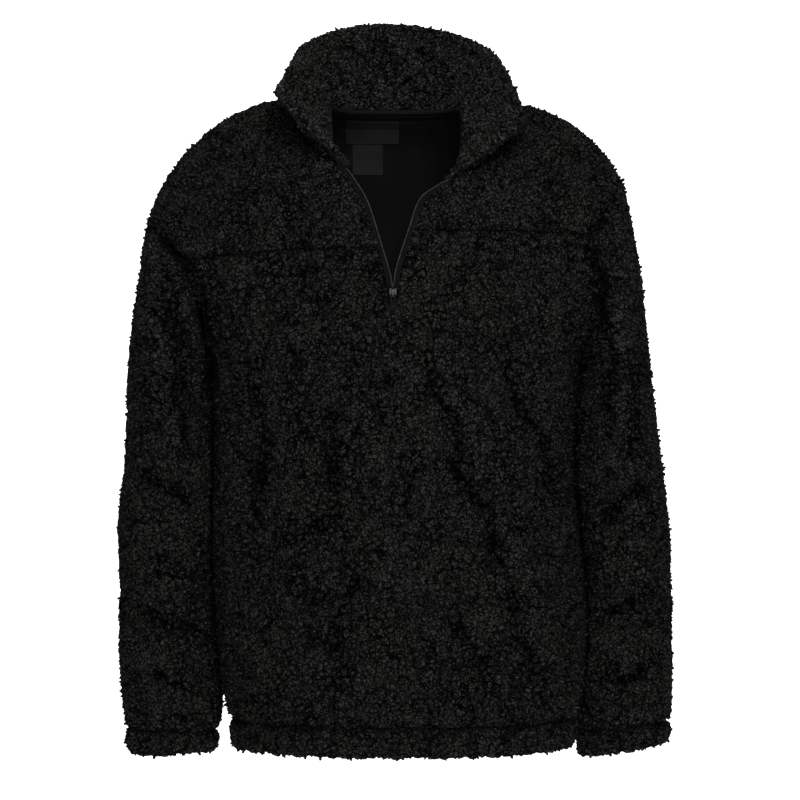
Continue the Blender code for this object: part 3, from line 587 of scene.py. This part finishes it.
def wovenTape():
    # The tape's herringbone, on its UV map in millimetres: u across, v along.
    made, graph, shader = newMaterial("wovenTape", 0.85, 0.03)
    place = graph.add("ShaderNodeUVMap", uv_map="tape").outputs[0]
    parts = graph.partsOf(place)
    lean = graph.math("PINGPONG", parts["X"], weave["row"])
    twill = graph.wave(graph.plus(parts["Y"], lean), weave["rib"])
    cloud = graph.noise(graph.vector("SCALE", place, mm), weave["cloud"], 3.0)
    tone = graph.plus(graph.span(cloud, *cloudRange, 0.2, 0.7), graph.times(twill, weave["shade"]))
    graph.wire(shader.inputs["Base Color"], graph.mix(tone, weave["dark"], weave["light"]))
    addBump(graph, shader, twill, weave["depth"], 0.6)
    return made


nylon = {"grain": 1.6, "depth": 0.1}


def moulded(name, low, high, roughness, specular):
    # Nylon or thread: a clouded tone with a fine grain.
    made, graph, shader = newMaterial(name, roughness, specular)
    tone = graph.span(graph.noise(graph.objectPlace(), nylon["grain"], 3.0), 0.35, 0.65)
    graph.wire(shader.inputs["Base Color"], graph.mix(tone, low, high))
    addBump(graph, shader, tone, nylon["depth"], 0.4)
    return made


satin = {
    "pick": 0.55,  # from one crosswise thread to the next
    "cloud": 12.0,
    "shade": 0.2,
    "depth": 0.1,
    "dark": (0.0085, 0.0080, 0.0084),
    "light": (0.0125, 0.0117, 0.0122),
}


def satinLabel():
    made, graph, shader = newMaterial("satinLabel", 0.6, 0.05)
    place = graph.objectPlace()
    picks = graph.wave(graph.partsOf(place)["Z"], satin["pick"] * mm)
    cloud = graph.span(graph.noise(place, satin["cloud"], 3.0), *cloudRange, 0.2, 0.8)
    tone = graph.plus(cloud, graph.times(picks, satin["shade"]))
    graph.wire(shader.inputs["Base Color"], graph.mix(tone, satin["dark"], satin["light"]))
    addBump(graph, shader, picks, satin["depth"], 0.5)
    return made


plate = {
    "brush": 0.5,  # width of a brush line
    "brushStretch": 0.06,  # the smaller, the longer the lines along z
    "wear": 2.5,
    "roughness": (0.22, 0.42),
    "depth": 0.05,
}


def platedMetal(name, low, high):
    # Plated zinc: brushed along z, with duller patches where hands and fleece rub it.
    made, graph, shader = newMaterial(name, 0.3, 0.5)
    shader.inputs["Metallic"].default_value = 1.0
    place = graph.objectPlace()
    stretched = graph.vector("MULTIPLY", place, (1.0, 1.0, plate["brushStretch"]))
    brushed = graph.noise(stretched, plate["brush"], 2.0)
    worn = graph.noise(place, plate["wear"], 3.0)
    graph.wire(shader.inputs["Base Color"], graph.mix(graph.span(worn, 0.35, 0.65), low, high))
    graph.wire(shader.inputs["Roughness"], graph.span(brushed, *cloudRange, *plate["roughness"]))
    addBump(graph, shader, brushed, plate["depth"], 0.5)
    return made


Crease = namedtuple("Crease", "side points height halfWidth")
creaseSides = {
    # the two axes that a crease's points are given in, the axis and sign of the way that the side
    # faces, and how far out a point of the wall must lie for its creases to count
    "front": {"plane": (0, 2), "axis": 1, "sign": -1, "start": 5},
    "back": {"plane": (0, 2), "axis": 1, "sign": 1, "start": 5},
    "left": {"plane": (1, 2), "axis": 0, "sign": -1, "start": 238},
    "right": {"plane": (1, 2), "axis": 0, "sign": 1, "start": 232},
    "neck": {"plane": (0, 2), "axis": 1, "sign": 1, "start": 20},
    "around": {"plane": (0, 2), "axis": 1, "sign": 1, "start": -500},
}
creaseRows = {
    # points, height (minus for a trough) and half width
    "front": (
        (((33, -274), (38, -301), (59, -353), (70, -407), (90, -443), (107, -479), (121, -513)), -4.2, 12),
        (((114, -270), (121, -303), (142, -349), (164, -388), (167, -433)), -3.6, 11),
        (((62, -541), (78, -580), (100, -627)), -2.8, 12),
        (((114, -512), (127, -561), (139, -593), (166, -627)), -3.6, 11),
        (((22, -264), (84, -368), (116, -451), (150, -560)), 2.6, 17),
        (((-69, -326), (-64, -430), (-100, -472)), -2.6, 13),
        (((-40, -500), (-62, -560), (-58, -622)), -2.2, 12),
        (((-150, -300), (-140, -380), (-152, -455)), -2.6, 13),
        (((-95, -90), (-128, -150), (-150, -215)), 2.0, 18),
        (((88, -85), (120, -140), (150, -205)), 2.2, 18),
        (((-256, -144), (-258, -225), (-254, -304)), 3.4, 16),
        (((-258, -132), (-244, -155), (-221, -187), (-205, -222), (-198, -262), (-199, -330)), -5.0, 9),
        (((-236, -205), (-226, -260), (-222, -330)), -3.4, 10),
        (((-250, -151), (-243, -215), (-235, -281), (-227, -345), (-220, -408)), -3.6, 8),
        (((-276, -398), (-245, -415), (-212, -446)), -3.8, 12),
        (((-282, -452), (-250, -468), (-220, -474)), 2.6, 14),
        (((-284, -543), (-245, -560), (-205, -567)), -4.0, 10),
        (((-270, -610), (-240, -628), (-214, -632)), -2.8, 10),
        (((238, -128), (236, -230), (240, -346)), 3.4, 16),
        (((232, -100), (219, -124), (207, -160), (216, -205), (226, -288), (223, -372)), -5.2, 9),
        (((262, -250), (258, -330), (246, -392)), -3.0, 11),
        (((272, -415), (240, -432), (216, -462)), -3.6, 12),
        (((276, -520), (246, -545), (222, -552)), -3.2, 11),
        (((280, -600), (252, -622), (230, -628)), -3.4, 10),
    ),
    "back": (
        (((-52, -150), (-70, -260), (-104, -352), (-120, -430)), -3.6, 12),
        (((30, -250), (52, -342), (96, -431), (118, -520)), -3.8, 12),
        (((136, -180), (128, -270), (150, -356)), -3.0, 11),
        (((-136, -500), (-98, -566), (-60, -622)), -3.2, 12),
        (((20, -560), (44, -600), (90, -636)), -2.6, 11),
        (((-150, -210), (-90, -236), (-20, -240)), 2.4, 20),
        (((-262, -380), (-238, -420), (-212, -432)), -3.8, 12),
        (((-270, -520), (-240, -536), (-214, -560)), -3.4, 10),
        (((258, -360), (238, -398), (214, -420)), -3.8, 12),
        (((276, -505), (246, -530), (222, -560)), -3.2, 11),
    ),
    "left": (
        (((-20, -330), (5, -400), (12, -455)), -3.4, 12),
        (((22, -470), (-8, -520), (-14, -590)), -3.0, 11),
        (((2, -120), (10, -190), (4, -262)), -2.8, 12),
    ),
    "right": (
        (((-12, -310), (14, -372), (6, -440)), -3.4, 12),
        (((-18, -480), (12, -540), (8, -600)), -3.0, 11),
        (((6, -130), (-4, -200), (8, -270)), -2.8, 12),
    ),
    "around": (
        (((195, -655), (196, -680), (198, -708)), 4.0, 9),
        (((199, -668), (199, -692)), 4.0, 7),
    ),
    "neck": (
        (((-10, 66), (-16, 54), (-24, 42)), -2.6, 7),
        (((24, 68), (31, 54), (41, 38)), -2.6, 7),
    ),
}
creases = [Crease(side, *row) for side, rows in creaseRows.items() for row in rows]

folds = {
    "wander": 3.0,  # how far a crease strays sideways: a slow bend, and a short one on it
    "wanderLength": 13.0,
    "waver": 1.8,
    "waverLength": 5.3,
    "waverWidth": 9.0,
    "climb": 0.3,  # share of that which is up and down
    "step": 5.0,
    "facing": 30.0,  # over this much depth it comes in as the wall turns to its side
    "reach": 2.6,  # in half widths
    "ends": 6.0,  # how fast it comes in from its ends
    "endLeast": 0.15,
    "uneven": 0.22,  # share of its height that comes and goes along it
    "unevenRate": 15.0,
    "unevenPhase": 1.7,
    "bank": 0.7,  # how much the wall rises beside it
    "partWidth": 0.5,  # in half widths
}


def throughPoints(points, step):
    # A smooth line through the points, one place about every step.
    points = np.array(points, float)
    ends = np.vstack([2 * points[0] - points[1], points, 2 * points[-1] - points[-2]])
    line = []
    for k in range(1, len(points)):
        a, b, c, d = ends[k - 1:k + 3]
        count = max(1, int(np.linalg.norm(c - b) / step))
        for t in np.arange(count) / count:
            line.append(0.5 * (2 * b + (c - a) * t + (2 * a - 5 * b + 4 * c - d) * t**2
                               + (3 * b - a - 3 * c + d) * t**3))
    line.append(points[-1])
    return np.array(line)


def foldAt(points, name):
    # How far the creases move each point out, in millimetres, and how much they part the pile.
    places = points / mm
    bend = places[:, 2] / folds["wanderLength"] + 1
    ripple = places[:, 2] / folds["waverLength"] + places[:, 0] / folds["waverWidth"]
    stray = folds["wander"] * np.sin(bend) + folds["waver"] * np.sin(ripple)
    height = np.zeros(len(places))
    part = np.zeros(len(places))
    for number, crease in enumerate(creases):
        if name.startswith("collar") != (crease.side == "neck"):
            continue
        side = creaseSides[crease.side]
        line = throughPoints(crease.points, folds["step"])
        flat = places[:, side["plane"]] + np.column_stack([stray, stray * folds["climb"]])
        facing = side["sign"] * places[:, side["axis"]] - side["start"]
        facing = np.clip(facing / folds["facing"], 0, 1)
        margin = folds["reach"] * crease.halfWidth
        inside = (flat > line.min(0) - margin).all(1) & (flat < line.max(0) + margin).all(1) & (facing > 0)
        near = np.flatnonzero(inside)
        if not len(near):
            continue
        gaps = np.linalg.norm(flat[near][:, None] - line[None], axis=2)
        along = gaps.argmin(1) / (len(line) - 1)
        gap = gaps.min(1) / crease.halfWidth
        fade = np.minimum(along, 1 - along) * folds["ends"] + folds["endLeast"]
        fade = np.clip(fade, 0, 1) * facing[near]
        beat = np.sin(along * folds["unevenRate"] + number * folds["unevenPhase"])
        fade *= 1 - folds["uneven"] + folds["uneven"] * beat
        height[near] += crease.height * fade * (1 - folds["bank"] * gap**2) * np.exp(-gap**2)
        if crease.height < 0:
            part[near] = np.maximum(part[near], fade * np.exp(-(gap / folds["partWidth"])**2))
    return height, part


walls = {
    # each panel's flat cut in metres: width, length and area
    "front_body": {"cut": (0.54, 0.52), "area": 0.266},
    "front_yoke_left": {"cut": (0.26, 0.20), "area": 0.042},
    "front_yoke_right": {"cut": (0.24, 0.17), "area": 0.032},
    "back": {"cut": (0.55, 0.70), "area": 0.363},
    "sleeve_left": {"cut": (0.45, 0.55), "area": 0.193},
    "sleeve_right": {"cut": (0.45, 0.58), "area": 0.194},
    "cuff_left": {"cut": (0.30, 0.028), "area": 0.0078, "turned": True},
    "cuff_right": {"cut": (0.30, 0.028), "area": 0.0080, "turned": True},
    "hem_band": {"cut": (1.03, 0.032), "area": 0.032, "turned": True},
    "collar_outer": {"cut": (0.52, 0.10), "area": 0.044},
    "collar_inner": {"cut": (0.50, 0.10), "area": 0.044},
}
sharpAngle = math.radians(50)
quadAngle = math.radians(35)  # how far two triangles may fold and still make a quad
quadShape = math.radians(80)
mergeNear = 1e-5  # metres
wallLevels = 2
rimShare = 0.5  # a rim's area, at most, against the largest sheet's
freeSlope = -0.3  # z of a free rim's normal: over it on the collar, under it on hem and cuffs
middles = {
    # metres: what a panel's points lie out from
    "left": -0.245,
    "right": 0.24,
    "armBack": 0.01,
    "neckFront": -0.01,
    "neckBelow": 0.03,
    "chest": -0.2,
}
turnedInset = 3.0  # how far the backing hides inside a turned edge
backingWall = 1.4
backingShare = 0.3  # of its triangles: the inside is plain
cordSides = 6
seamCord = {"radius": 1.5, "step": 4.0}
neckBinding = {"radius": 3.2, "step": 4.0}
neckDrop = 2.2  # how far the binding hangs below the collar's lower edge


def outwardFrom(name, point):
    # Which way is out of the garment at a point of this node.
    if name.startswith(("sleeve", "cuff")):
        middle = Vector((middles[name.split("_")[1]], middles["armBack"], point.z))
    elif name.startswith("collar"):
        middle = Vector((0, middles["neckFront"], point.z - middles["neckBelow"]))
    else:
        middle = Vector((0, 0, min(point.z, middles["chest"])))
    return (point - middle).normalized() * (-1 if name == "collar_inner" else 1)


def smoothWall(name):
    # The node's wall as a smooth mesh of quads, its rims kept sharp.
    mesh = bmesh.new()
    mesh.from_mesh(nodes[name].data)
    bmesh.ops.remove_doubles(mesh, verts=mesh.verts, dist=mergeNear)
    crease = mesh.edges.layers.float.new("crease_edge")
    for edge in mesh.edges:
        if len(edge.link_faces) == 2 and edge.calc_face_angle(0) > sharpAngle:
            edge[crease] = 1.0
    bmesh.ops.join_triangles(mesh, faces=mesh.faces, angle_face_threshold=quadAngle,
                             angle_shape_threshold=quadShape)
    made = meshObject(name + "Wall", mesh, None)
    smooth = made.modifiers.new("smooth", "SUBSURF")
    smooth.levels = wallLevels
    smooth.render_levels = wallLevels
    return applyAll(made)


def sheetsOf(mesh, name):
    # Numbers the wall's faces: 1 outer sheet, -1 inner sheet, 2 free rim, 0 rim at a seam.
    mesh.faces.ensure_lookup_table()
    owner = [-1] * len(mesh.faces)
    groups = []
    for start in mesh.faces:
        if owner[start.index] >= 0:
            continue
        number = len(groups)
        owner[start.index] = number
        stack = [start]
        area = 0.0
        score = 0.0
        while stack:
            face = stack.pop()
            size = face.calc_area()
            area += size
            score += size * face.normal.dot(outwardFrom(name, face.calc_center_median()))
            for edge in face.edges:
                if len(edge.link_faces) == 2 and edge.calc_face_angle(0) < sharpAngle:
                    for other in edge.link_faces:
                        if owner[other.index] < 0:
                            owner[other.index] = number
                            stack.append(other)
        groups.append((area, score / area))
    largest = max(area for area, _ in groups)
    kinds = [0 if area < largest * rimShare else (1 if score > 0 else -1) for area, score in groups]
    found = [kinds[k] for k in owner]
    for face in mesh.faces:
        if found[face.index] == 0 and isFree(name, face.normal):
            found[face.index] = 2
    return found


def isFree(name, normal):
    # Free rims: the collar's top and fronts, and the lower edges of hem and cuffs.
    if name.startswith("collar"):
        return normal.z > freeSlope
    return "turned" in walls[name] and normal.z < freeSlope


def facesOf(mesh, kinds, kept):
    part = mesh.copy()
    part.faces.ensure_lookup_table()
    bmesh.ops.delete(part, geom=[f for f in part.faces if kinds[f.index] not in kept], context="FACES")
    return part


def edgesBetween(mesh, kinds, sheet):
    # The edges where this sheet meets a rim that is sewn.
    wanted = sorted((0, sheet))
    return [edge for edge in mesh.edges if sorted(kinds[f.index] for f in edge.link_faces) == wanted]


def lineObject(name, edges):
    lines = bmesh.new()
    made = {}
    for edge in edges:
        for point in edge.verts:
            if point.index not in made:
                made[point.index] = lines.verts.new(point.co)
        lines.edges.new([made[point.index] for point in edge.verts])
    return meshObject(name, lines, None)


def nearestKinds(mesh, kinds, places):
    tree = KDTree(len(mesh.faces))
    for face in mesh.faces:
        tree.insert(face.calc_center_median(), face.index)
    tree.balance()
    return [kinds[tree.find(place)[1]] for place in places]


def layBacking(name, mesh, kinds, finish):
    # The inner sheet, made thick towards the pile, or hidden inside a turned edge.
    backing = meshObject(name + "_cloth", facesOf(mesh, kinds, (-1,)), finish)
    points = np.array([v.co for v in backing.data.vertices])
    normals = np.array([v.normal for v in backing.data.vertices])
    lift = foldAt(points, name)[0] + (turnedInset if "turned" in walls[name] else 0.0)
    points -= normals * lift[:, None] * mm
    backing.data.vertices.foreach_set("co", points.ravel())
    backing.modifiers.new("fewer", "DECIMATE").ratio = backingShare
    shell = backing.modifiers.new("wall", "SOLIDIFY")
    shell.thickness = backingWall * mm
    shell.offset = -1
    applyAll(backing)
    backing.data.shade_smooth()
    return backing


def evenMesh(wall, name, mesh, kinds, kept):
    # The wall's sheets of these kinds, at the pile's even spacing.
    even = wall.modifiers.new("even", "REMESH")
    even.mode = "VOXEL"
    others = "sleeve" if name.startswith("sleeve") else "other"
    even.voxel_size = pileVoxel.get(name, pileVoxel[others]) * mm
    applyAll(wall)
    fine = bmesh.new()
    fine.from_mesh(wall.data)
    found = nearestKinds(mesh, kinds, [f.calc_center_median() for f in fine.faces])
    drop = [face for face, kind in zip(fine.faces, found) if kind not in kept]
    bmesh.ops.delete(fine, geom=drop, context="FACES")
    return fine


def growPile(name, wall, mesh, kinds, trees, finish, zipPath):
    # The pile on all but the inner sheet, or on every sheet of a turned edge, and the tufts on it.
    turned = "turned" in walls[name]
    shown = (1, 2, -1) if turned else (1, 2)
    guide = meshObject(name + "Guide", facesOf(mesh, kinds, shown), None)
    guide.data.shade_smooth()
    seams = lineObject(name + "Seams", edgesBetween(mesh, kinds, 1))
    fine = evenMesh(wall, name, mesh, kinds, (*shown, 0))
    fleece = meshObject(name + "_pile", fine, finish)
    points = np.array([v.co for v in fleece.data.vertices])
    # the crease heights and partings also paint shade and light into the pile's colour
    for key, values in zip(("fold", "part"), foldAt(points, name)):
        layer = fleece.data.attributes.new(key, "FLOAT", "POINT")
        layer.data.foreach_set("value", values.astype(np.float32))
    sizes = {**pile, **(turnedPile if turned else {})}
    growWith(fleece, trees["pile"], sizes, finish, guide=guide, seams=seams, zip=zipPath)
    fleece.data.shade_smooth()
    locks = link(bpy.data.objects.new(name + "_tufts", fleece.data.copy()))
    growWith(locks, trees["tufts"], tufts, finish)
    locks.data.shade_smooth()
    for helper in (guide, seams):
        bpy.data.objects.remove(helper)
    return fleece, locks


def buildPanel(name, trees, finishes, sewn, zipPath):
    wall = smoothWall(name)
    mesh = bmesh.new()
    mesh.from_mesh(wall.data)
    mesh.normal_update()
    mesh.verts.index_update()
    kinds = sheetsOf(mesh, name)
    if name == "collar_inner":
        rims = edgesBetween(mesh, kinds, 1) + edgesBetween(mesh, kinds, -1)
        sewn["neck"] = lineObject(name + "Line", rims)
        for point in sewn["neck"].data.vertices:
            point.co.z -= neckDrop * mm
    elif name != "back":
        sewn[name] = lineObject(name + "Line", edgesBetween(mesh, kinds, -1))
    backing = layBacking(name, mesh, kinds, finishes["knit"])
    finish = finishes["facing" if name == "collar_inner" else "pile"]
    fleece, locks = growPile(name, wall, mesh, kinds, trees, finish, zipPath)
    mesh.free()
    bpy.data.objects.remove(wall)
    for made in (backing, fleece, locks):
        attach(made, garmentBody)
    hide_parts(name)
    print(name, "pile", triangles(fleece), "tufts", triangles(locks), "backing", triangles(backing))


def cordTree():
    tree, graph, given = newTree("seamCord", seamCord)
    curve = graph.add("GeometryNodeMeshToCurve", {"Mesh": given["geometry"]})
    length = graph.times(given["step"], mm)
    even = graph.add("GeometryNodeResampleCurve", {"Curve": curve, "Length": length}, mode="LENGTH")
    ring = graph.add("GeometryNodeCurvePrimitiveCircle",
                     {"Resolution": cordSides, "Radius": graph.times(given["radius"], mm)}, mode="RADIUS")
    tube = graph.add("GeometryNodeCurveToMesh", {"Curve": even, "Profile Curve": ring, "Fill Caps": True})
    return endTree(tree, graph, given, tube)


def sewSeams(sewn, finishes):
    # Overlocking along the inside of every seam, and a rounder binding where the collar is set in.
    tree = cordTree()
    binding = growWith(sewn.pop("neck"), tree, neckBinding, finishes["thread"])
    binding.name = "neck_binding"
    cords = bmesh.new()
    for line in sewn.values():
        growWith(line, tree, seamCord, finishes["thread"])
        cords.from_mesh(line.data)
        bpy.data.objects.remove(line)
    threads = meshObject("overlocked_seams", cords, finishes["thread"])
    for made in (binding, threads):
        made.data.shade_smooth()
        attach(made, garmentBody)
        print(made.name, triangles(made))


def hangLining(finishes):
    # The lining keeps its solid's form, shaded smooth; the bare labels lie on it.
    mesh = bmesh.new()
    mesh.from_mesh(nodes["back_lining"].data)
    bmesh.ops.remove_doubles(mesh, verts=mesh.verts, dist=mergeNear)
    made = meshObject("back_lining_cloth", mesh, finishes["lining"])
    made.data.shade_smooth()
    made.data.set_sharp_from_angle(angle=sharpAngle)
    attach(made, garmentBody)
    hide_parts("back_lining")
    area = sum(face.area for face in made.data.polygons) / 2
    print("lining area", round(area, 4))
    for name in ("brand_label", "care_label"):
        for slot in nodes[name].material_slots:
            slot.material = finishes["label"]


zipper = {
    "step": 2.0,  # between the band's cross-sections
    "wall": 1.1,
    "width": 5.5,
    "columns": 4,  # points across it
    "stitchIn": 1.1,  # of the stitches, from the outer edge
    "stitchLift": 0.65,
    "coilLift": 0.35,
}
coil = {"pitch": 1.25, "along": 0.46, "across": 0.62, "rise": 0.7}
stitches = {"pitch": 3.0, "along": 1.1, "across": 0.3, "rise": 0.25}
beadSides = {"Segments": 8, "Rings": 5}


def tapeRows(name):
    # The tape's cross-sections from the bottom up, each the middles of its two edges.
    mesh = bmesh.new()
    mesh.from_mesh(nodes[name].data)
    bmesh.ops.remove_doubles(mesh, verts=mesh.verts, dist=mergeNear)
    points = sorted((v.co.copy() for v in mesh.verts), key=lambda p: p.z)
    mesh.free()
    rows = []
    while points:
        points.sort(key=lambda p, first=points[0]: (p - first).length)
        corners = points[:4]  # two across the thickness, then the two of the other edge
        points = sorted(points[4:], key=lambda p: p.z)
        rows.append(((corners[0] + corners[1]) / 2, (corners[2] + corners[3]) / 2))
    return rows


def zipLines(side):
    # The tape's inner and outer edge and its way out, smooth from the slider to the top of the collar.
    towards = Vector((1 if side == "left" else -1, 0, 0))
    edges = []
    for a, b in tapeRows("zip_tape_" + side) + tapeRows("zip_tape_collar_" + side):
        if (a - b).dot(towards) < 0:
            a, b = b, a
        towards = (a - b).normalized()
        edges.append([*(a / mm), *(b / mm)])
    both = throughPoints(edges, zipper["step"])
    inner = both[:, :3]
    outer = both[:, 3:]
    along = np.gradient((inner + outer) / 2, axis=0)
    out = np.cross(along, inner - outer)
    out /= np.linalg.norm(out, axis=1)[:, None]
    return inner, outer, out * np.sign(-out[0, 1])


def pathObject(points, across):
    # A line of points in millimetres, each with its way across the tape.
    mesh = bmesh.new()
    made = [mesh.verts.new(point * mm) for point in points]
    for k in range(len(made) - 1):
        mesh.edges.new(made[k:k + 2])
    path = meshObject("path", mesh, None)
    path.data.attributes.new("across", "FLOAT_VECTOR", "POINT").data.foreach_set("vector", across.ravel())
    return path


def beadTree():
    # Coil turns and stitches: small round bodies along a line, turned with it.
    tree, graph, given = newTree("beads", coil)
    curve = graph.add("GeometryNodeMeshToCurve", {"Mesh": given["geometry"]})
    pitch = graph.times(given["pitch"], mm)
    even = graph.add("GeometryNodeResampleCurve", {"Curve": curve, "Length": pitch}, mode="LENGTH")
    across = graph.add("GeometryNodeInputNamedAttribute", {"Name": "across"}, data_type="FLOAT_VECTOR")
    tangent = graph.add("GeometryNodeInputTangent")
    turn = graph.add("FunctionNodeAlignRotationToVector", {"Vector": tangent}, axis="X")
    turn = graph.add("FunctionNodeAlignRotationToVector", {"Rotation": turn, "Vector": across},
                     axis="Y", pivot_axis="X")
    size = graph.add("ShaderNodeCombineXYZ", {0: given["along"], 1: given["across"], 2: given["rise"]})
    ball = graph.add("GeometryNodeMeshUVSphere", {**beadSides, "Radius": mm})
    beads = graph.add("GeometryNodeInstanceOnPoints",
                      {"Points": even, "Instance": ball, "Rotation": turn, "Scale": size})
    return endTree(tree, graph, given, beads)


def tapeBand(side, inner, outer, finish):
    # A closed band between the two edges, with a map in millimetres for its weave.
    mesh = bmesh.new()
    layer = mesh.loops.layers.uv.new("tape")
    shares = np.linspace(0, 1, zipper["columns"])
    far = np.concatenate([[0], np.cumsum(np.linalg.norm(np.diff(inner, axis=0), axis=1))])
    rows = [[mesh.verts.new((a + (b - a) * t) * mm) for t in shares] for a, b in zip(inner, outer)]
    for k in range(len(rows) - 1):
        for j in range(len(shares) - 1):
            face = mesh.faces.new([rows[k][j], rows[k + 1][j], rows[k + 1][j + 1], rows[k][j + 1]])
            places = ((k, j), (k + 1, j), (k + 1, j + 1), (k, j + 1))
            for loop, (row, column) in zip(face.loops, places):
                loop[layer].uv = (shares[column] * zipper["width"], far[row])
    tape = meshObject("zip_tape_band_" + side, mesh, finish)
    wall = tape.modifiers.new("wall", "SOLIDIFY")
    wall.thickness = zipper["wall"] * mm
    wall.offset = 0
    return applyAll(tape), far[-1]


def tapeMiddles(zipLine):
    # One helper object along the middles of both tapes.
    mesh = bmesh.new()
    for inner, outer, _ in zipLine.values():
        made = [mesh.verts.new((a + b) / 2 * mm) for a, b in zip(inner, outer)]
        for k in range(len(made) - 1):
            mesh.edges.new(made[k:k + 2])
    return meshObject("tapeMiddles", mesh, None)


def buildZip(finishes, zipLine):
    tree = beadTree()
    for side in sides:
        inner, outer, out = zipLine[side]
        across = inner - outer
        across /= np.linalg.norm(across, axis=1)[:, None]
        tape, length = tapeBand(side, inner, outer, finishes["tape"])
        turns = growWith(pathObject(inner + out * zipper["coilLift"], across), tree, coil, finishes["coil"])
        turns.name = "zip_coil_" + side
        row = outer + across * zipper["stitchIn"] + out * zipper["stitchLift"]
        sewing = growWith(pathObject(row, across), tree, stitches, finishes["thread"])
        sewing.name = "zip_stitches_" + side
        for made in (tape, turns, sewing):
            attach(made, garmentBody)
        for made in (turns, sewing):
            made.data.shade_smooth()
        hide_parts("zip_tape_" + side, "zip_tape_collar_" + side)
        print("zip", side, "length", round(length), "coil", triangles(turns), "stitches", triangles(sewing))
    for name in ("slider", "pull"):
        for slot in nodes["zip_" + name].material_slots:
            slot.material = finishes[name]


addCamera()
addLights()
addStage()
print("stage ready")

finishes = {
    "pile": sherpaPile("sherpaPile"),
    # the same pile, coloured lighter as painted light on the shaded inside of the collar
    "facing": sherpaPile("sherpaFacingPaintedLight", facingPaintedLight),
    "knit": fineKnit("knitBacking", (0.0050, 0.0050, 0.0052), 1.1),
    "lining": fineKnit("smoothLining", (0.0038, 0.0036, 0.0040), 0.8, 0.75, 0.03),
    "thread": moulded("overlockThread", (0.002, 0.002, 0.002), (0.006, 0.006, 0.006), 0.8, 0.05),
    "tape": wovenTape(),
    "coil": moulded("zipCoil", (0.02, 0.02, 0.022), (0.055, 0.055, 0.06), 0.35, 0.35),
    "label": satinLabel(),
    "slider": platedMetal("platedSlider", (0.012, 0.012, 0.013), (0.04, 0.04, 0.04)),
    "pull": platedMetal("blackPlatedPull", (0.0016, 0.0016, 0.0018), (0.0045, 0.0045, 0.005)),
}
trees = {"pile": pileTree(), "tufts": tuftTree()}
sewn = {}
zipLine = {side: zipLines(side) for side in sides}
zipPath = tapeMiddles(zipLine)
for name in walls:
    buildPanel(name, trees, finishes, sewn, zipPath)
bpy.data.objects.remove(zipPath)
sewSeams(sewn, finishes)
hangLining(finishes)
buildZip(finishes, zipLine)
